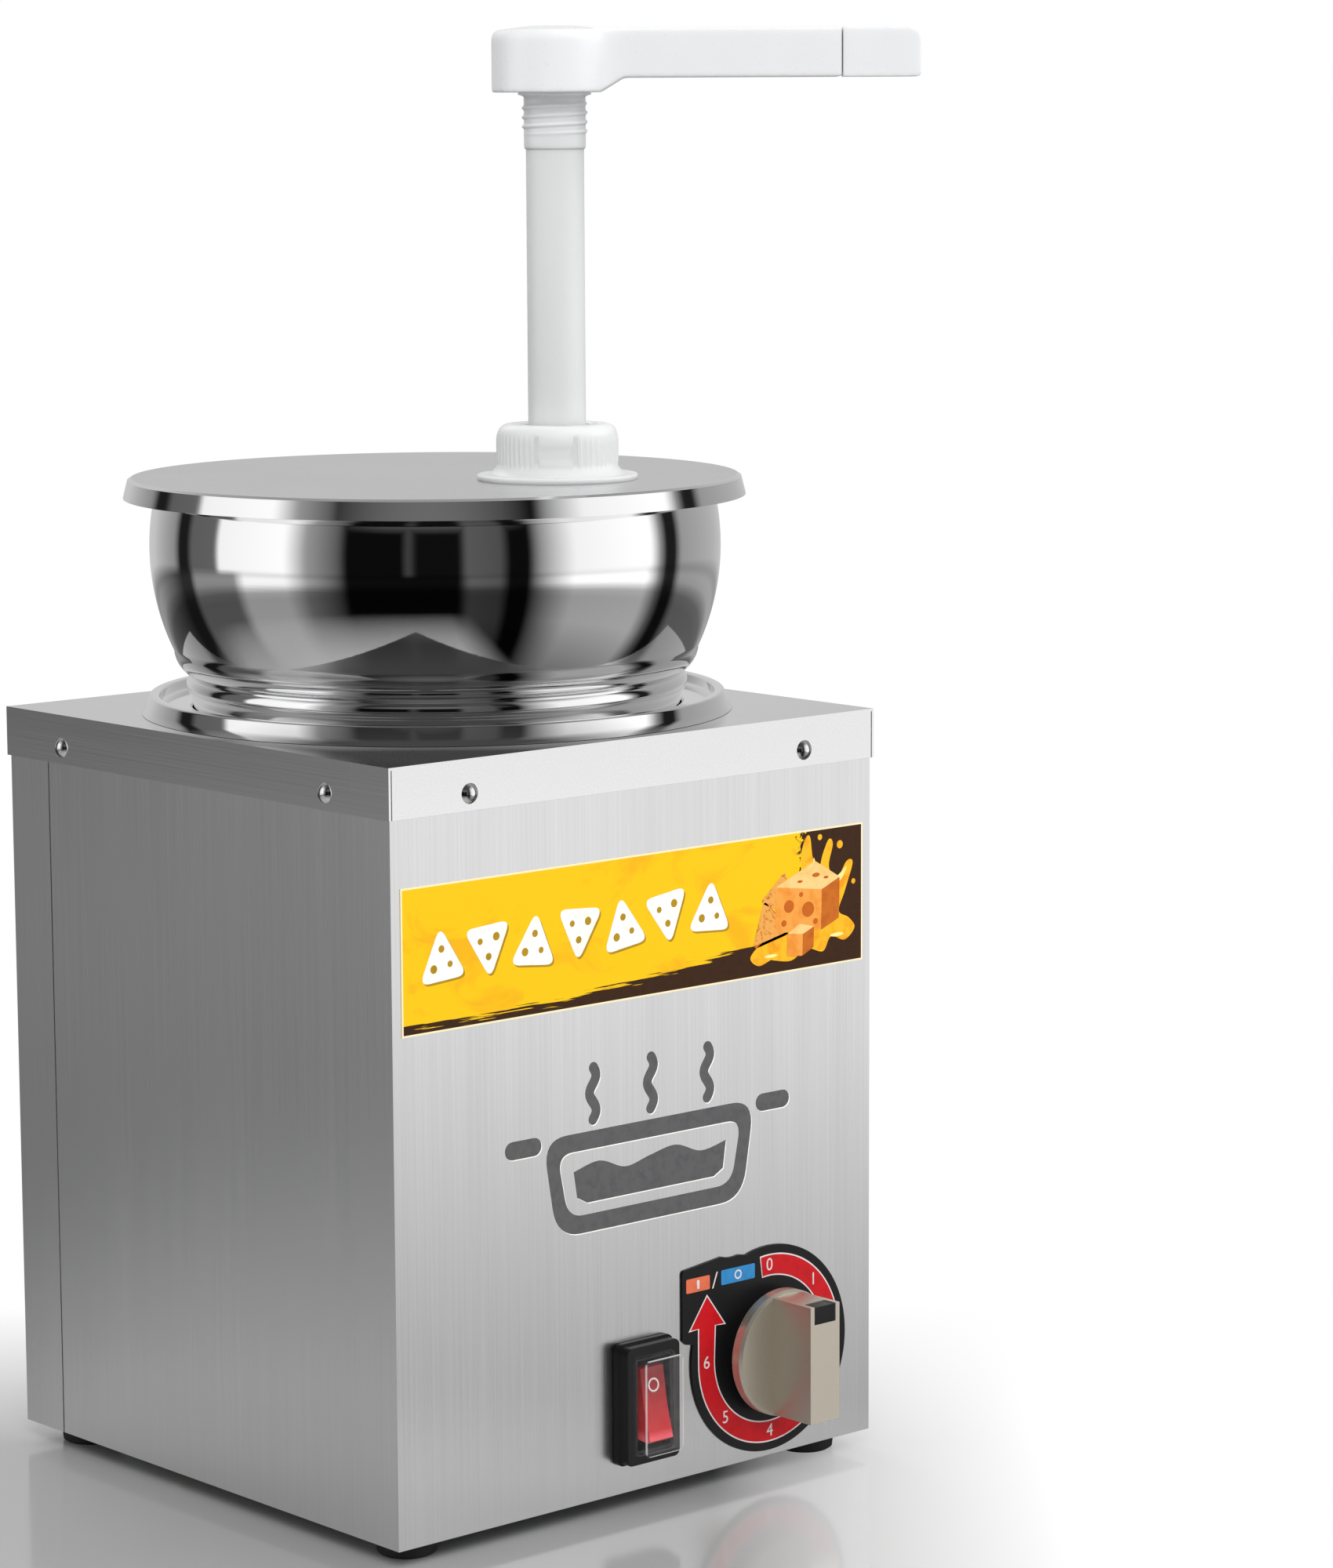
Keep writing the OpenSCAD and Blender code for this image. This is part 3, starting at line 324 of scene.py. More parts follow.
M = {
    "brushed_casing": brushed("brushed_casing", (0.80, 0.80, 0.802, 1), 0.23, aniso=0.45),
    "top_steel": brushed("top_steel", (0.84, 0.84, 0.845, 1), 0.13, grain=(1400, 9, 1400), aniso=0.2),
    "polished_steel": polished("polished_steel", (0.93, 0.93, 0.935, 1), 0.035),
    "lid_steel": lid_material(),
    "plated_screw": polished("plated_screw", (0.86, 0.86, 0.87, 1), 0.12),
    "galvanised": brushed("galvanised", (0.58, 0.60, 0.62, 1), 0.42, grain=(60, 60, 60), aniso=0.0, wear=0.12),
    "rubber_black": plastic("rubber_black", (0.018, 0.018, 0.018, 1), 0.72, 1500, 0.15, 0.2),
    "gasket_grey": plastic("gasket_grey", (0.16, 0.16, 0.16, 1), 0.7, 1200, 0.1),
    "plate_aluminium": brushed("plate_aluminium", (0.70, 0.71, 0.72, 1), 0.38, grain=(300, 300, 300), aniso=0.0),
    "element_sheath": plastic("element_sheath", (0.10, 0.085, 0.08, 1), 0.6, 700, 0.2, 0.35, metal=0.6),
    "insulation": wool("insulation", (0.72, 0.64, 0.42, 1)),
    "copper_tube": polished("copper_tube", (0.85, 0.45, 0.30, 1), 0.25),
    "brass_terminal": polished("brass_terminal", (0.85, 0.66, 0.32, 1), 0.28),
    "ceramic_beige": plastic("ceramic_beige", (0.70, 0.63, 0.50, 1), 0.8, 500, 0.12),
    "black_plastic": plastic("black_plastic", (0.010, 0.010, 0.010, 1), 0.34, 900, 0.05, 0.2, specular=0.25),
    "dial_print": plastic("dial_print", (0.010, 0.010, 0.011, 1), 0.40, 1400, 0.06, 0.2, specular=0.22),
    "knob_champagne": champagne(),
    "rocker_red": rocker_material(),
    "clear_boot": boot_material(),
    "label_print": label_material(),
    "ivory_block": plastic("ivory_block", (0.80, 0.78, 0.68, 1), 0.45),
    "wire_brown": plastic("wire_brown", (0.22, 0.09, 0.03, 1), 0.4),
    "wire_blue": plastic("wire_blue", (0.03, 0.12, 0.50, 1), 0.4),
    "wire_green_yellow": plastic("wire_green_yellow", (0.38, 0.58, 0.05, 1), 0.4),
    "pump_white": plastic("pump_white", (0.775, 0.78, 0.79, 1), 0.30, 700, 0.02, 0.03, sss=0.35,
                          sss_radius=(1.0, 1.0, 1.0), sss_scale=0.004, coat=0.2, coat_rough=0.1),
    "pump_clear": plastic("pump_clear", (0.90, 0.905, 0.91, 1), 0.22, 60, 0.0, 0.02, transmission=0.25, ior=1.3,
                          sss=0.4, sss_radius=(1.0, 1.0, 1.0), sss_scale=0.006, specular=0.4),
    "seal_rubber": plastic("seal_rubber", (0.78, 0.74, 0.62, 1), 0.55),
    "spring_steel": polished("spring_steel", (0.75, 0.75, 0.75, 1), 0.18),
    "ink_red": printed("ink_red", srgb(196, 18, 28)),
    "ink_pale": printed("ink_pale", srgb(226, 214, 214)),
    "ink_orange": printed("ink_orange", srgb(222, 112, 78)),
    "ink_blue": printed("ink_blue", srgb(52, 136, 196)),
    "ink_grey": printed("ink_grey", srgb(92, 92, 93), srgb(84, 84, 86), rough=0.4),
    "ink_white": printed("ink_white", srgb(252, 250, 244), srgb(240, 236, 226)),
    "ink_shadow": printed("ink_shadow", srgb(176, 138, 20)),
    "ink_cheese_top": printed("ink_cheese_top", srgb(252, 204, 132), srgb(248, 188, 104), 160),
    "ink_cheese_side": printed("ink_cheese_side", srgb(240, 160, 70), srgb(230, 140, 48), 160),
    "ink_hole": printed("ink_hole", srgb(196, 98, 20)),
    "ink_cheese_dark": printed("ink_cheese_dark", srgb(196, 104, 26), srgb(178, 88, 18), 160),
    "ink_chip": printed("ink_chip", srgb(232, 164, 78), srgb(190, 108, 34), 620, 0.52, 0.62),
    "ink_splash": printed("ink_splash", srgb(248, 184, 30), srgb(236, 150, 12), 190),
    "ink_shine": printed("ink_shine", srgb(255, 236, 150)),
}

slot_of = {s["node"]: s["material_slot"] for s in frame["record"]["subparts"]}


def dress(obj, key):
    """Gives an object's every slot one material."""
    if not obj.data.materials:
        obj.data.materials.append(M[key])
    for i in range(len(obj.material_slots)):
        obj.material_slots[i].link = "DATA"
        obj.material_slots[i].material = M[key]


for name, obj in nodes.items():
    dress(obj, "top_steel" if name == "top_cover" else slot_of[name])

# ---------- mesh helpers ----------


def make(name, verts, faces, body, key, slot=None, smooth=True, replaces=()):
    """A new piece from mm coordinates."""
    mesh = bpy.data.meshes.new(name)
    mesh.from_pydata([tuple(c * MM for c in v) for v in verts], [], faces)
    b = bmesh.new()
    b.from_mesh(mesh)
    bmesh.ops.remove_doubles(b, verts=b.verts, dist=1e-7)
    bmesh.ops.recalc_face_normals(b, faces=b.faces)
    b.to_mesh(mesh)
    b.free()
    obj = bpy.data.objects.new(name, mesh)
    scene.collection.objects.link(obj)
    if smooth:
        mesh.shade_smooth()
    dress(obj, key)
    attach(obj, body)
    if replaces:
        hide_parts(*replaces)
    return obj


def by_angle(obj, degrees=35):
    """Smooth shading that keeps edges sharper than the angle."""
    obj.data.shade_smooth()
    b = bmesh.new()
    b.from_mesh(obj.data)
    for e in b.edges:
        e.smooth = len(e.link_faces) == 2 and e.calc_face_angle(0) < math.radians(degrees)
    b.to_mesh(obj.data)
    b.free()


def rounded(node, body, key, width, segments=3, angle=38):
    """Copy of a CAD node whose sharp edges are rounded by width mm; it stands for the node."""
    mesh = nodes[node].data.copy()
    b = bmesh.new()
    b.from_mesh(mesh)
    bmesh.ops.remove_doubles(b, verts=b.verts, dist=2e-6)
    bmesh.ops.dissolve_limit(b, angle_limit=math.radians(1.0), verts=b.verts, edges=b.edges)
    b.to_mesh(mesh)
    b.free()
    for poly in mesh.polygons:
        poly.use_smooth = True
    obj = bpy.data.objects.new(node + "_finished", mesh)
    scene.collection.objects.link(obj)
    bevel = obj.modifiers.new("edges", "BEVEL")
    bevel.width = width * MM
    bevel.segments = segments
    bevel.limit_method = "ANGLE"
    bevel.angle_limit = math.radians(angle)
    bevel.harden_normals = False
    level = obj.modifiers.new("flat faces", "WEIGHTED_NORMAL")
    level.weight = 100
    level.keep_sharp = False
    dress(obj, key)
    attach(obj, body)
    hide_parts(node)
    return obj


def wrapped(segments, rings):
    """Faces of a grid closed both ways, as a turned closed profile is."""
    faces = []
    for i in range(segments):
        here, there = i * rings, (i + 1) % segments * rings
        faces += [(here + k, here + (k + 1) % rings, there + (k + 1) % rings, there + k) for k in range(rings)]
    return faces


def lathe(profile, segments):
    """Closed profile of (r, z) turned round Z: vertices and faces."""
    verts = []
    for i in range(segments):
        a = 2 * math.pi * i / segments
        verts += [(r * math.cos(a), r * math.sin(a), z) for r, z in profile]
    return verts, wrapped(segments, len(profile))


def sweep(points, radius, sides=12):
    """Capped round tube along points."""
    pts = [Vector(p) for p in points]
    verts, faces = [], []
    up = Vector((0, 0, 1))
    for i, p in enumerate(pts):
        t = (pts[min(i + 1, len(pts) - 1)] - pts[max(i - 1, 0)]).normalized()
        side = t.cross(up if abs(t.z) < 0.95 else Vector((1, 0, 0))).normalized()
        other = t.cross(side)
        for k in range(sides):
            a = 2 * math.pi * k / sides
            verts.append(p + radius * (math.cos(a) * side + math.sin(a) * other))
    for i in range(len(pts) - 1):
        for k in range(sides):
            faces.append((i * sides + k, i * sides + (k + 1) % sides, (i + 1) * sides + (k + 1) % sides,
                          (i + 1) * sides + k))
    faces.append(tuple(range(sides))[::-1])
    faces.append(tuple((len(pts) - 1) * sides + k for k in range(sides)))
    return verts, faces


def arc(cx, cz, r, a0, a1, n=24):
    return [(cx + r * math.cos(math.radians(a0 + (a1 - a0) * i / n)),
             cz + r * math.sin(math.radians(a0 + (a1 - a0) * i / n))) for i in range(n + 1)]


def plate(outline, y0, t, holes=()):
    """Prism of a front-view outline (x, z) from depth y0 forward by t."""
    loops = [list(outline)] + [list(h) for h in holes]
    flat = [p for loop in loops for p in loop]
    tris = geometry.tessellate_polygon([[Vector((x, z, 0)) for x, z in loop] for loop in loops])
    n = len(flat)
    verts = [(x, y0, z) for x, z in flat] + [(x, y0 - t, z) for x, z in flat]
    faces = [tuple(f) for f in tris] + [tuple(i + n for i in reversed(f)) for f in tris]
    start = 0
    for loop in loops:
        k = len(loop)
        faces += [(start + i, start + (i + 1) % k, start + (i + 1) % k + n, start + i + n) for i in range(k)]
        start += k
    return verts, faces


def join(parts):
    verts, faces = [], []
    for v, f in parts:
        base = len(verts)
        verts += v
        faces += [tuple(i + base for i in face) for face in f]
    return verts, faces


def soft_polygon(points, r, n=4):
    """Outline with its corners rounded by quadratic curves of reach r."""
    out, count = [], len(points)
    for i in range(count):
        p, a, b = Vector(points[i]), Vector(points[i - 1]), Vector(points[(i + 1) % count])
        u, v = (a - p), (b - p)
        s = p + u.normalized() * min(r, u.length * 0.45)
        e = p + v.normalized() * min(r, v.length * 0.45)
        out += [tuple((1 - t) ** 2 * s + 2 * t * (1 - t) * p + t * t * e) for t in [k / n for k in range(n + 1)]]
    return out


def spline(points, steps=10):
    out = []
    for i in range(len(points) - 1):
        a, b, c, d = (Vector(points[max(i - 1, 0)]), Vector(points[i]), Vector(points[i + 1]),
                      Vector(points[min(i + 2, len(points) - 1)]))
        for k in range(steps):
            t = k / steps
            out.append(tuple(0.5 * ((2 * b) + (c - a) * t + (2 * a - 5 * b + 4 * c - d) * t * t
                                    + (3 * b - a - 3 * c + d) * t ** 3)))
    return out + [tuple(points[-1])]


# ---------- sheet metal ----------

rounded("casing_wrap", "casing", "brushed_casing", 0.45)
rounded("rear_cover", "casing", "brushed_casing", 0.35)
rounded("top_cover", "casing", "top_steel", 0.6)

# ---------- pot and well: turned surfaces with a fine, even mesh ---------------

Z1 = 278.0  # top face of the casing
POT0, RIM = (c.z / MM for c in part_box("pot"))
BULGE_R = 87.25
BULGE = (104 - BULGE_R, Z1 + 60)


def turned_pot():
    low = math.degrees(math.asin((23 - 60) / BULGE_R))
    high = math.degrees(math.asin((RIM - 5 - BULGE[1]) / BULGE_R))
    outer = (
        [(0.01, POT0)] + arc(76.5, POT0 + 10, 10, -90, 0, 12)
        + [(86.5, Z1 - 6), (88.3, Z1 - 2), (89, Z1 + 2), (89.8, Z1 + 6)] + arc(87, Z1 + 10.2, 4.6, -40, 45, 10)
        + [(90.7, Z1 + 14.1), (91.5, Z1 + 14.9), (92.9, Z1 + 16.3), (94.1, Z1 + 17.9), (95, Z1 + 19.6),
           (95.7, Z1 + 21.8)]
        + arc(BULGE[0], BULGE[1], BULGE_R, low, high, 48)
        + arc(104.9, RIM - 3.1, 1.9, 170, 95, 6) + [(107.6, RIM - 1.0)] + arc(107.6, RIM - 0.5, 0.5, -90, 90, 5))
    inner = (
        [(103.6, RIM)] + arc(BULGE[0], BULGE[1], BULGE_R - 1, high, low, 36)
        + [(94.3, Z1 + 21), (92, Z1 + 17), (89.7, Z1 + 14), (89.3, Z1 + 10), (88.6, Z1 + 6), (87.6, Z1 - 2),
           (85.5, Z1 - 6)]
        + arc(76.5, POT0 + 10, 9, 0, -90, 8) + [(0.01, POT0 + 1)])
    return lathe(outer + inner, 192)


pot = make("pot_turned", *turned_pot(), "pot_group", "polished_steel", replaces=("pot",))
by_angle(pot, 40)

WELL0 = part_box("water_well")[0].z / MM + 1
RF = Z1 + 3  # floor of the raised ring
WR = 89.1
well_profile = (
    [(0.01, WELL0), (0.01, WELL0 - 1)] + arc(WR - 4, WELL0 + 4, 5, -90, 0, 8) + [(WR + 1, RF - 2.2), (WR + 2, RF - 1)]
    + [(101.1, RF - 1), (101.8, RF - 0.2), (102.4, RF + 2.0)] + [(102.9, RF + 2.9), (104.2, RF + 2.9)]
    + [(105.6, RF - 0.2), (106.6, Z1 + 0.5), (107.2, Z1 + 0.1), (108, Z1 + 0.1)]
    + [(107.2, Z1 + 1.2), (106.4, Z1 + 2.6)] + arc(104, RF + 2.7, 1.25, 20, 90, 6)
    + arc(102.6, RF + 2.7, 1.25, 90, 165, 6)
    + [(101.1, RF + 1.0), (100.4, RF + 0.2), (99.6, RF)] + arc(WR + 2, RF - 2, 2, 90, 180, 8)
    + arc(WR - 4, WELL0 + 4, 4, 0, -90, 8))
well = make("water_well_turned", *lathe(well_profile, 192), "casing", "polished_steel", replaces=("water_well",))
by_angle(well, 40)

# ---------- pump ----------

AX, AY = 17.327, -48.392
SPOUT = math.radians(-41.8)
LID_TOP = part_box("lid")[1].z / MM


def moulded(node, body, key, voxel, smooth):
    """Copy of a CAD node remeshed finely and relaxed, so that its edges are rounded as a moulding's are."""
    obj = bpy.data.objects.new(node + "_moulded", nodes[node].data.copy())
    scene.collection.objects.link(obj)
    remesh = obj.modifiers.new("remesh", "REMESH")
    remesh.mode = "VOXEL"
    remesh.voxel_size = voxel * MM
    remesh.use_smooth_shade = True
    relax = obj.modifiers.new("relax", "SMOOTH")
    relax.factor = 0.5
    relax.iterations = smooth
    dress(obj, key)
    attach(obj, body)
    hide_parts(node)
    return obj


moulded("pump_head", "plunger_group", "pump_white", 0.6, 14)
moulded("spout_tip", "plunger_group", "pump_white", 0.5, 10)


def collar():
    """Flange with a soft step, a ribbed cap whose front holds a plain tab between two slots, and the boss below."""
    z = LID_TOP
    profile = ([(28.6, z + 0.02), (28.9, z + 0.6)] + arc(28.1, z + 1.3, 0.8, 0, 90, 4) + [(25.6, z + 2.2)]
               + arc(25.4, z + 5.4, 3.2, -90, -150, 5) + [(21.9, z + 4.6), (21.6, z + 5.6)]
               + [(21.5, z + 6 + k) for k in range(9)] + arc(17.4, z + 15.9, 4.1, 0, 90, 8)
               + [(15.5, z + 20), (13.4, z + 20), (12.7, z + 19.4), (12.55, z + 8), (15.2, z + 7.9), (15.2, z - 14),
                  (17.6, z - 14), (17.6, z + 0.02)])
    segments, verts = 480, []
    for i in range(segments):
        a = 2 * math.pi * i / segments
        off = abs((math.degrees(a - SPOUT) + 90 + 180) % 360 - 180)
        rib = max(0.0, math.cos(math.radians(off * 60)))
        for r, h in profile:
            grip = 0.0
            band = min(max((h - z - 5.2) / 1.0, 0), 1) * min(max((z + 16.8 - h) / 1.6, 0), 1)
            if r > 20.5 and band > 0:
                grip = 0.30 if off < 17 else -0.75 if off < 21.5 else 0.42 * rib ** 0.7
            if r > 20.5 and 0 < off < 15 and z + 7.4 < h < z + 12.2:
                grip -= 0.35
            rr = r + grip * band
            verts.append((AX + rr * math.cos(a), AY + rr * math.sin(a), h))
    return verts, wrapped(segments, len(profile))


by_angle(make("pump_collar_moulded", *collar(), "lid_group", "pump_clear", slot="pump_white",
              replaces=("pump_collar",)), 45)


PITCH = 3.3


def thread_sleeve():
    """Sleeve with a real ridge that climbs round it, and a small skirt under the head."""
    z0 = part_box("lock_sleeve")[0].z / MM
    heights = [0, 0.5, 1.0, 2.5, 4.0] + [5 + 0.3 * k for k in range(40)] + [17.2, 18.4, 18.8, 19.2, 20.0]
    segments, verts = 144, []
    for i in range(segments):
        a = 2 * math.pi * i / segments
        ring = []
        for h in heights:
            r = {0: 10.55, 0.5: 10.85, 18.8: 11.6}.get(h, 13.0 if h > 18.8 else 11.0)
            if 5 <= h <= 17:
                phase = ((h - 5) / PITCH - a / (2 * math.pi)) % 1.0
                fade = min(1, (h - 5) / 1.5, (17 - h) / 1.5)
                if abs(phase - 0.5) < 0.26:
                    r += 0.75 * fade * max(0.0, math.cos(math.pi * (phase - 0.5) * 1.9)) ** 1.2
            ring.append((r, z0 + h))
        ring += [(10.38, z0 + 20.0), (10.38, z0)]
        verts += [(AX + r * math.cos(a), AY + r * math.sin(a), z) for r, z in ring]
    return verts, wrapped(segments, len(ring))


by_angle(make("lock_sleeve_threaded", *thread_sleeve(), "plunger_group", "pump_white", replaces=("lock_sleeve",)), 60)

lo, hi = (c.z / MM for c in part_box("pump_spring"))
turns, wire, coil_r, a_turn = 13, 0.88, 9.6, 28
rise = hi - lo - 6 * wire
coil = []
for i in range(a_turn * turns + 1):
    t = i / a_turn
    climb = rise * max(0, min(1, (t - 1) / (turns - 2)))
    z = lo + wire + 2 * wire * min(t, 1) + climb + 2 * wire * max(0, t - turns + 1)
    coil.append((AX + coil_r * math.cos(2 * math.pi * t), AY + coil_r * math.sin(2 * math.pi * t), z))
spring = make("pump_spring_wound", *sweep(coil, wire, 12), "spring_group", "spring_steel", replaces=("pump_spring",))
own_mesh(spring)

# ---------- knob, dial and switch ----------

rounded("knob", "knob_group", "knob_champagne", 0.7, 3, 30)
rounded("knob_pointer", "knob_group", "black_plastic", 0.4)
rounded("switch_bezel", "casing", "black_plastic", 0.7, 3)
rounded("rocker", "rocker_group", "rocker_red", 0.6, 4, 25)
rounded("switch_boot", "casing", "clear_boot", 0.55, 3)
rounded("dial_plate", "casing", "dial_print", 0.15, 2)

INK = 0.06
dial_face = FRONT - 0.8


def rect(x0, x1, z0, z1, r=0.6):
    return soft_polygon([(x0, z0), (x1, z0), (x1, z1), (x0, z1)], r)


def arrow(g):
    """Ring that ends in an arrow head, grown outwards by g."""
    head = [(26.0 - g, 60.9 - g * 0.4), (21.9 - 1.8 * g, 60.9 - g), (29.9, 72.0 + 1.6 * g), (38.1 + 1.8 * g, 60.9 - g),
            (33.6 + g, 60.9 - g * 0.4)]
    return arc(DX, DZ, 34.6 + g, 97 + g * 1.2, -180, 96) + head + arc(DX, DZ, 27.5 - g, -180, 97 + g * 1.2, 96)


def dial_ink(name, outline, level, key, holes=()):
    return make(name, *plate(outline, dial_face - level * INK, INK, holes), "casing", key, slot="dial_print",
                smooth=False)


def digit(text, x, z, size, depth, key, name):
    """A number as a thin solid whose back lies at the given depth."""
    curve = bpy.data.curves.new(name, "FONT")
    curve.body = text
    curve.size = size * MM
    curve.extrude = INK * MM / 2
    curve.align_x, curve.align_y = "CENTER", "CENTER"
    obj = bpy.data.objects.new(name, curve)
    scene.collection.objects.link(obj)
    obj.matrix_world = (Matrix.Translation((x * MM, (depth - INK / 2) * MM, z * MM))
                        @ Matrix.Rotation(math.pi / 2, 4, "X"))
    bpy.context.view_layer.update()
    mesh = bpy.data.meshes.new_from_object(obj.evaluated_get(bpy.context.evaluated_depsgraph_get()))
    mesh.transform(obj.matrix_world)
    bpy.data.objects.remove(obj)
    piece = bpy.data.objects.new(name, mesh)
    scene.collection.objects.link(piece)
    dress(piece, key)
    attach(piece, "casing")
    return piece


dial_ink("dial_arrow_outline", arrow(0.55), 0, "ink_pale")
dial_ink("dial_arrow", arrow(0), 1, "ink_red")
DIGIT_R = 31.05
for n in range(7):
    a = math.radians(90 - 45 * n)
    digit(str(n), DX + DIGIT_R * math.cos(a), DZ + DIGIT_R * math.sin(a), 6.6, dial_face - 2 * INK, "ink_pale",
          f"dial_digit_{n}")
dial_ink("dial_on_box", rect(19.9, 31.3, 74.7, 79.9), 0, "ink_orange")
dial_ink("dial_on_mark", rect(25.0, 26.2, 75.7, 78.9, 0.2), 1, "ink_pale")
dial_ink("dial_off_box", rect(36.9, 53.4, 75.0, 80.5), 0, "ink_blue")
dial_ink("dial_off_mark", arc(45.1, 77.75, 1.75, 0, 360, 32)[:-1], 1, "ink_pale",
         [arc(45.1, 77.75, 1.15, 0, 360, 32)[:-1]])
dial_ink("dial_slash", [(32.4, 74.6), (33.0, 74.6), (35.2, 80.4), (34.6, 80.4)], 0, "ink_pale")

# Ring mark on the pressed-in half of the rocker
slope = math.atan2(-4.3 + 6.2, 13.0)
PIVOT_X, PIVOT_Y, PIVOT_Z = -1.3, -113.5 - 6.2, 40
ring = []
for i in range(48):
    a = 2 * math.pi * i / 48
    for r, d in ((2.55, 0.02), (2.55, -0.1), (1.9, -0.1), (1.9, 0.02)):
        w = 6.6 + r * math.sin(a)
        ring.append((PIVOT_X + r * math.cos(a), PIVOT_Y + w * math.sin(slope) + d, PIVOT_Z + w * math.cos(slope)))
make("rocker_ring_mark", ring, wrapped(48, 4), "rocker_group", "ink_pale", slot="rocker_red")

# ---------- printed front: banner art and capacity pictogram, all our own generic design ----------

LABEL = FRONT - 0.3


def lay(name, shapes, level, key):
    """Printed shapes, each an outline or (outline, holes), in banner coordinates centred on the banner."""
    parts = []
    for s in shapes:
        outline, holes = s if isinstance(s, tuple) else (s, ())
        parts.append(plate([(x, z + LZ) for x, z in outline], LABEL - 0.03 * level, 0.03,
                           [[(x, z + LZ) for x, z in h] for h in holes]))
    return make(name, *join(parts), "casing", key, slot="label_print", smooth=False)


def turn(points, cx, cz, degrees, k=1.0):
    c, s = math.cos(math.radians(degrees)), math.sin(math.radians(degrees))
    return [(cx + k * (x * c - z * s), cz + k * (x * s + z * c)) for x, z in points]


def dot(cx, cz, rx, rz=None, n=24):
    rz = rz or rx
    return [(cx + rx * math.cos(2 * math.pi * i / n), cz + rz * math.sin(2 * math.pi * i / n)) for i in range(n)]


tri = soft_polygon([(-10.4, -8.2), (10.4, -8.2), (0, 10.8)], 4.4, 6)
chip_at = [(-90.5, 0.2, 4), (-70, 0.6, 184), (-49.5, 0.5, -6), (-29, 1.4, 176), (-8.5, 1.4, 8), (12, 2.2, 188),
           (32.5, 2.6, -4)]
white_chips, chip_shadows = [], []
for cx, cz, a in chip_at:
    holes = [turn(dot(hx, hz, hr), cx, cz, a) for hx, hz, hr in ((-3.8, -3.6, 1.5), (3.4, -3.0, 1.15), (0.1, 2.8, 1.3))]
    white_chips.append((turn(tri, cx, cz, a), holes))
    chip_shadows.append(turn(tri, cx + 0.7, cz - 0.8, a))
lay("banner_icon_shadows", chip_shadows, 0, "ink_shadow")
lay("banner_icons", white_chips, 1, "ink_white")

splash = spline(
    [(62, -20), (56, -21.5), (52, -18), (58, -13), (66, -9), (76, -2), (80, 8), (77, 15), (79, 22), (81.5, 23),
     (83, 15), (86, 11), (88, 16), (91, 21), (93, 19), (91, 11), (95, 6), (100, 12), (103, 11), (99, 1), (96, -6),
     (101, -9), (104, -13), (99, -17), (92, -15), (88, -20), (80, -18), (72, -21.5), (62, -20)], 6)[:-1]
drops = [dot(96.5, 18.5, 1.5), dot(86.5, 22.2, 1.1), dot(74, 18.5, 0.9, 1.3), dot(103.4, 4.2, 1.0)]
lay("banner_splash", [splash] + drops, 0, "ink_splash")
lay("banner_splash_shine", [spline([(82, 4), (84.5, 9), (83.5, 15), (82.3, 9), (80.6, 5), (82, 4)], 6)[:-1],
                            spline([(92, 4), (97, 5.5), (100, 10), (96, 7.5), (92, 5.6), (92, 4)], 6)[:-1],
                            dot(62, -18.6, 3.2, 0.6), dot(95, -14.6, 3.4, 0.7)], 1, "ink_shine")


def chip(half, foot, top, cx, cz, a):
    return turn(soft_polygon([(-half, foot), (half, foot), (0, top)], 2.5), cx, cz, a)


def patch(name, corners, r, level, key):
    lay(name, [soft_polygon(corners, r)], level, key)


lay("banner_chips", [chip(9, -7, 8, 60.5, -5.5, 12), chip(8, -6.5, 8, 66.5, 4.5, -22)], 1, "ink_chip")
lay("banner_chip_edges", [chip(9.4, -7.6, 8.6, 61.0, -5.9, 12)], 0, "ink_cheese_dark")
patch("banner_wedge_side", [(64, -10.5), (87, -12), (87.4, 3.0), (64.6, 6.2)], 0.8, 2, "ink_cheese_side")
patch("banner_wedge_end", [(87, -12), (96, -8.5), (96.4, 6.6), (87.4, 3.0)], 0.6, 2, "ink_cheese_dark")
patch("banner_wedge_top", [(64.6, 6.2), (87.4, 3.0), (96.4, 6.6), (84, 13.8)], 0.7, 2, "ink_cheese_top")
lay("banner_wedge_holes", [dot(*d) for d in (
    (71, -1.5, 2.5, 2.3), (80.5, -3.6, 3.0, 2.8), (68.5, -7.4, 1.3, 1.2), (84.2, -8.4, 1.2, 1.1), (77, 2.2, 1.0, 0.9),
    (84.5, 8.6, 1.9, 0.8), (76.5, 7.0, 1.3, 0.5), (89.5, 7.2, 1.2, 0.5))], 3, "ink_hole")
patch("banner_cube_side", [(70, -19.5), (77.6, -20.4), (77.8, -12.4), (70.4, -11.4)], 0.5, 4, "ink_cheese_side")
patch("banner_cube_end", [(77.6, -20.4), (83.2, -17.8), (83.4, -10.2), (77.8, -12.4)], 0.5, 4, "ink_cheese_dark")
patch("banner_cube_top", [(70.4, -11.4), (77.8, -12.4), (83.4, -10.2), (76.2, -8.4)], 0.4, 4, "ink_cheese_top")


def stroke(points, w):
    """Outline of a round-ended line of width w along points."""
    pts = [Vector(p) for p in points]
    left, right = [], []
    for i, p in enumerate(pts):
        t = (pts[min(i + 1, len(pts) - 1)] - pts[max(i - 1, 0)]).normalized()
        n = Vector((-t.y, t.x)) * w / 2
        left.append(tuple(p + n))
        right.append(tuple(p - n))

    def cap(p, before):
        a = math.atan2(p.y - before.y, p.x - before.x) - math.pi / 2
        return [(p.x + w / 2 * math.cos(a + math.pi * k / 8), p.y + w / 2 * math.sin(a + math.pi * k / 8))
                for k in range(1, 8)]

    return right + cap(pts[-1], pts[-2]) + left[::-1] + cap(pts[0], pts[1])


def panel_art(name, shapes, level, key):
    return make(name, *join([plate(outline, FRONT - 0.03 * level, 0.05, holes) for outline, holes in shapes]),
                "casing", key, slot="label_print", smooth=False)


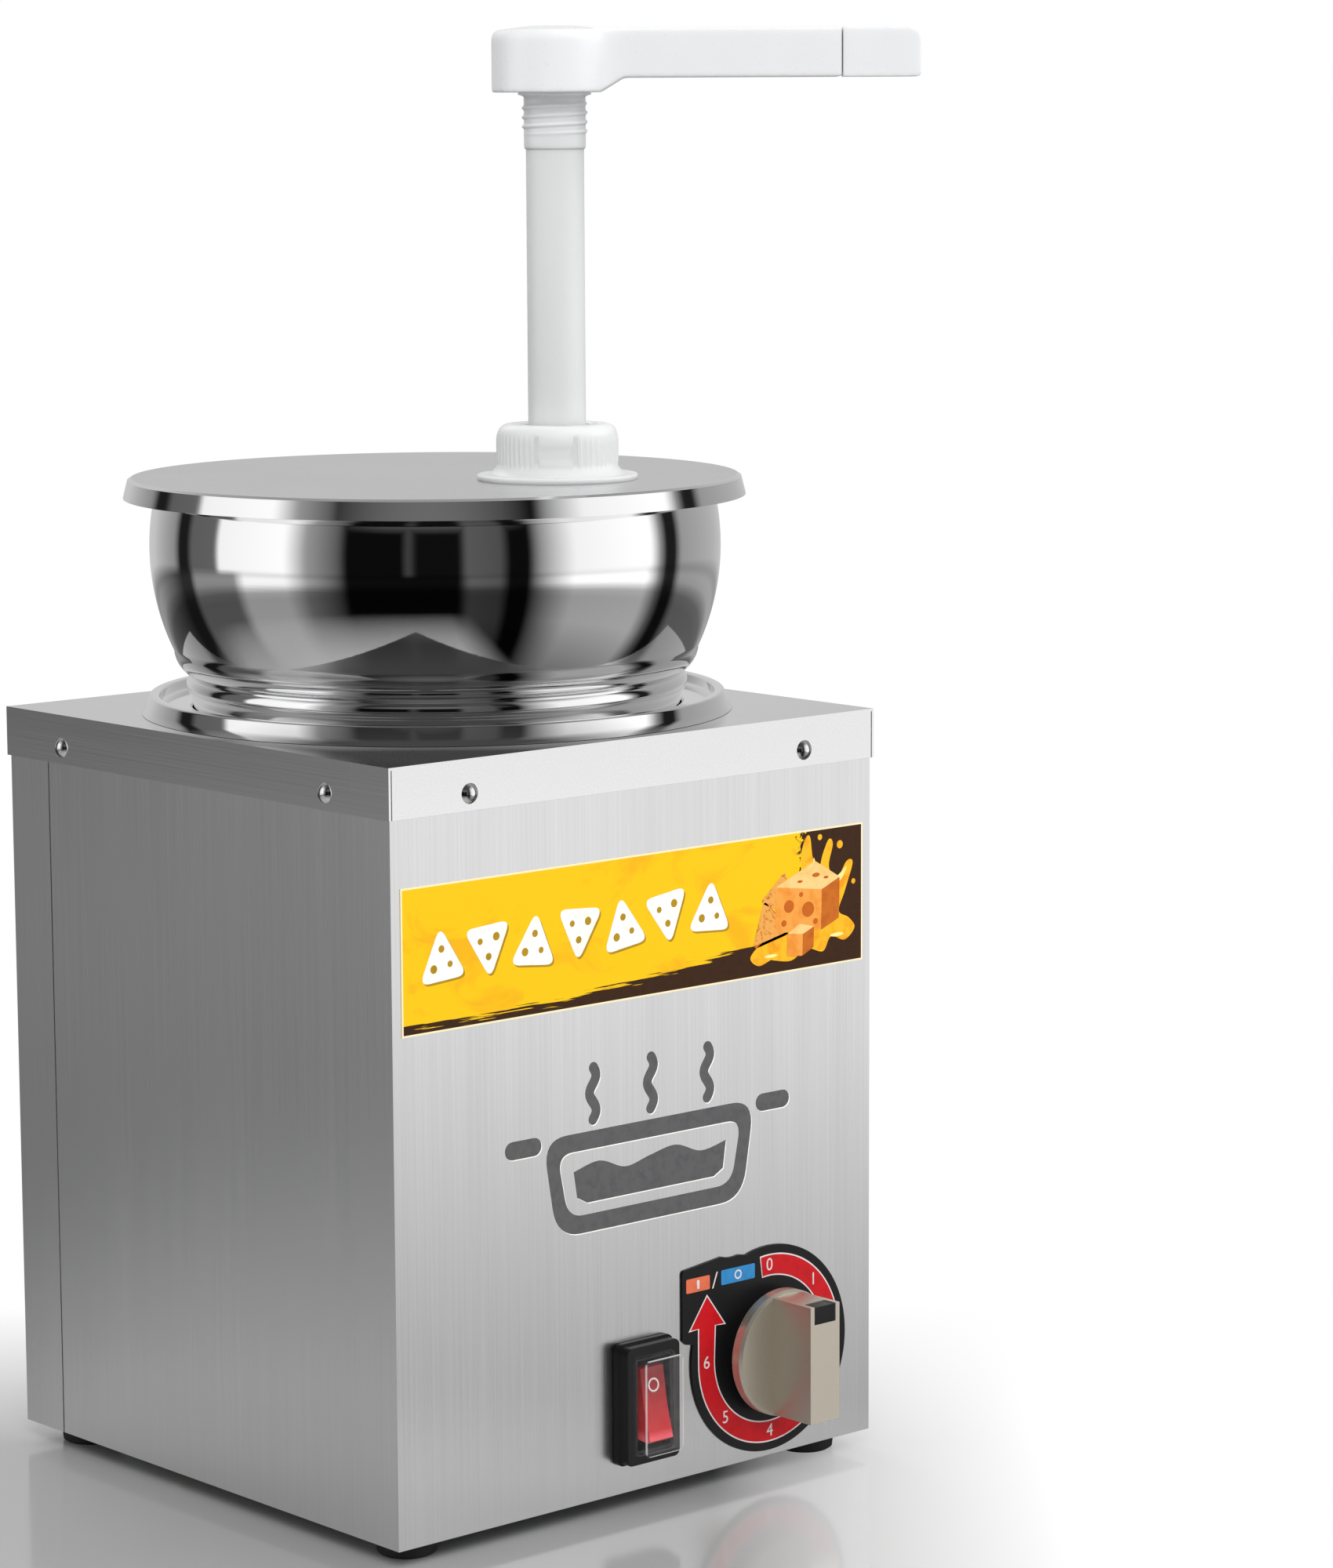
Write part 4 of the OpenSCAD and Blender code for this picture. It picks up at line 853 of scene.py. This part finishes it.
# Pot with a level line and steam, where the capacity is marked
PX, PZ = 4.0, 131.0
pot_outer = soft_polygon([(-50, 10), (50, 10), (44, -26), (-44, -26)], 11, 8)
pot_inner = soft_polygon([(-43.6, 3.6), (43.6, 3.6), (38.8, -19.6), (-38.8, -19.6)], 7, 8)
glyph = [(turn(pot_outer, PX, PZ, 0), [turn(pot_inner, PX, PZ, 0)])]
glyph += [(stroke([(PX + x, PZ + 8.2), (PX + x + 10, PZ + 8.2)], 6.4), []) for x in (-64, 54)]
glyph += [(stroke([(PX + x + 1.5 * math.sin(0.5 * h), PZ + 14 + h) for h in [0.8 * k for k in range(24)]], 4.0), [])
          for x in (-27, 0, 27)]
wave = spline([(PX - 36, PZ - 3.6), (PX - 24, PZ - 1.2), (PX - 12, PZ - 5.2), (PX, PZ - 2.8), (PX + 12, PZ - 1.0),
               (PX + 24, PZ - 5.0), (PX + 36, PZ - 3.0)], 6)
glyph.append((wave + [(PX + 34.5, PZ - 13), (PX + 30, PZ - 15.4), (PX - 30, PZ - 15.4), (PX - 34.5, PZ - 13)], []))


def shifted(points):
    return [(x + 0.35, z - 0.4) for x, z in points]


# The white copy under the grey mark, set a little down and to the right, is a painted highlight: the light edge of an
# engraved mark.
panel_art("capacity_painted_highlight", [(shifted(outline), [shifted(h) for h in holes]) for outline, holes in glyph], 0,
          "ink_white")
panel_art("capacity_mark", glyph, 1, "ink_grey")

# ---------- floor, light and surroundings ----------

floor_mesh = bpy.data.meshes.new("floor")
b = bmesh.new()
bmesh.ops.create_circle(b, cap_ends=True, segments=96, radius=1.15)
b.to_mesh(floor_mesh)
b.free()
floor = bpy.data.objects.new("floor", floor_mesh)
scene.collection.objects.link(floor)
m, g = material("floor")
x, y, z = g.xyz()[:3]
away = g.length(x, y)
right = g.math("SUBTRACT", g.math("MULTIPLY", x, PAN_COS), g.math("MULTIPLY", y, PAN_SIN))
back = g.math("ADD", g.math("MULTIPLY", x, PAN_SIN), g.math("MULTIPLY", y, PAN_COS))
cloudy = g.noise(g.coords((6, 6, 6)), 1.0, 2.0)
glaze = g.node("ShaderNodeBsdfPrincipled", {
    "Base Color": g.mix(cloudy, (0.38, 0.38, 0.382, 1), (0.42, 0.42, 0.422, 1)),
    "Roughness": g.step(cloudy, 0.3, 0.7, 0.09, 0.13), "Specular IOR Level": 0.4})
clear = g.node("ShaderNodeBsdfTransparent")
# Painted shade: the grey glaze is laid only round the object and fades to clear with distance, to the right and to the
# back, so the floor is painted darker near the object than the white beyond.
painted_shade_fade = g.math("MULTIPLY", g.step(away, 0.25, 0.80, 1.0, 0.0),
              g.math("MULTIPLY", g.step(right, 0.10, 0.22, 1.0, 0.0), g.step(back, 0.0, 0.20, 1.0, 0.0)))
blend = g.node("ShaderNodeMixShader", {0: painted_shade_fade, 1: clear.outputs[0], 2: glaze.outputs[0]})
g.node("ShaderNodeOutputMaterial", {"Surface": blend.outputs[0]})
floor_mesh.materials.append(m)

world = bpy.data.worlds.new("studio")
scene.world = world
world.use_nodes = True
g = Graph(world.node_tree)
way = g.node("ShaderNodeTexCoord").outputs["Generated"]
wx, wy, wz = g.node("ShaderNodeSeparateXYZ", {0: way}).outputs[:3]
azimuth = g.math("ARCTAN2", wx, g.math("MULTIPLY", wy, -1.0))
share = g.math("FRACT", g.math("MULTIPLY_ADD", azimuth, 1 / (2 * math.pi), 0.5 + 41.8 / 360))
# Soft boxes and dark flags round the set; angles run to the right from the camera's side
flags = [(-180, 0.55), (-152, 0.50), (-126, 0.24), (-121, 0.01), (-115, 0.01), (-111, 0.10), (-96, 0.11), (-93, 0.85),
         (-60, 0.95), (-50, 0.28), (-37, 0.10), (-33, 0.003), (-11, 0.003), (-8, 0.05), (-5, 0.004), (12, 0.004),
         (15, 0.09), (28, 0.07), (32, 0.003), (40, 0.003), (45, 0.26), (60, 0.85), (98, 1.0), (104, 0.25), (108, 0.01),
         (114, 0.01), (119, 0.29), (150, 0.40), (180, 0.55)]
around = g.ramp(share, [((a + 180) / 360, v) for a, v in flags])
# Towards the floor the left soft box starts further round, and everything falls off
low_flags = [(-180, 0.30), (-150, 0.22), (-121, 0.02), (-114, 0.02), (-110, 0.21), (-86, 0.21), (-80, 0.8),
             (-60, 0.8), (-50, 0.28), (-37, 0.08), (-33, 0.003), (12, 0.003), (16, 0.09), (28, 0.07), (32, 0.003),
             (40, 0.003), (46, 0.26), (60, 0.9), (96, 1.0), (104, 0.2), (108, 0.01), (114, 0.01), (119, 0.25),
             (150, 0.3), (180, 0.30)]
low = g.ramp(share, [((a + 180) / 360, v) for a, v in low_flags])
near = g.mix(g.step(wz, -0.115, -0.15, 0.0, 1.0), around, low)
falloff = g.ramp(g.math("ADD", wz, 1.0), [(0.0, 0.10), (0.2, 0.13), (0.53, 0.34), (0.70, 0.32), (0.745, 0.38),
                                          (0.775, 0.70), (0.80, 1.06), (0.83, 1.12), (0.86, 0.84), (0.89, 1.0)])
sky = g.mix(1.0, near, g.mix(1.0, falloff, (1.12, 1.12, 1.12, 1), "MULTIPLY"), "MULTIPLY")
# The ceiling is grey, darker over the camera's side
toward = g.math("ADD", g.math("MULTIPLY", wx, -PAN_SIN), g.math("MULTIPLY", wy, -PAN_COS))
sky = g.mix(g.step(wz, 0.44, 0.80), sky, g.step(toward, -0.15, 0.35, 0.32, 0.06))
sky = g.mix(1.0, sky, g.math("MULTIPLY", g.step(toward, 0.72, 0.92, 0.0, 0.15), g.step(wz, 0.2, 0.34)), "LIGHTEN")
rays = g.node("ShaderNodeLightPath").outputs
tone = g.mix(rays["Is Diffuse Ray"], sky, (0.72, 0.72, 0.72, 1))
tone = g.mix(rays["Is Camera Ray"], tone, (1, 1, 1, 1))
backdrop = g.node("ShaderNodeBackground", {"Color": tone, "Strength": 1.0})
g.node("ShaderNodeOutputWorld", {"Surface": backdrop.outputs[0]})


def soft_light(name, at, aim, size, watts):
    data = bpy.data.lights.new(name, "AREA")
    data.shape = "DISK"
    data.size = size
    data.energy = watts
    obj = bpy.data.objects.new(name, data)
    scene.collection.objects.link(obj)
    obj.location = at
    obj.rotation_euler = (Vector(aim) - Vector(at)).to_track_quat("-Z", "Y").to_euler()
    obj.visible_glossy = False
    obj.visible_camera = False
    return obj


soft_light("key", (-1.6, -2.0, 2.2), (0, 0, 0.25), 1.6, 52)
soft_light("fill", (1.9, -1.2, 1.5), (0, 0, 0.25), 1.6, 30)
soft_light("back", (0.5, 2.4, 2.0), (0, 0, 0.3), 1.6, 30)
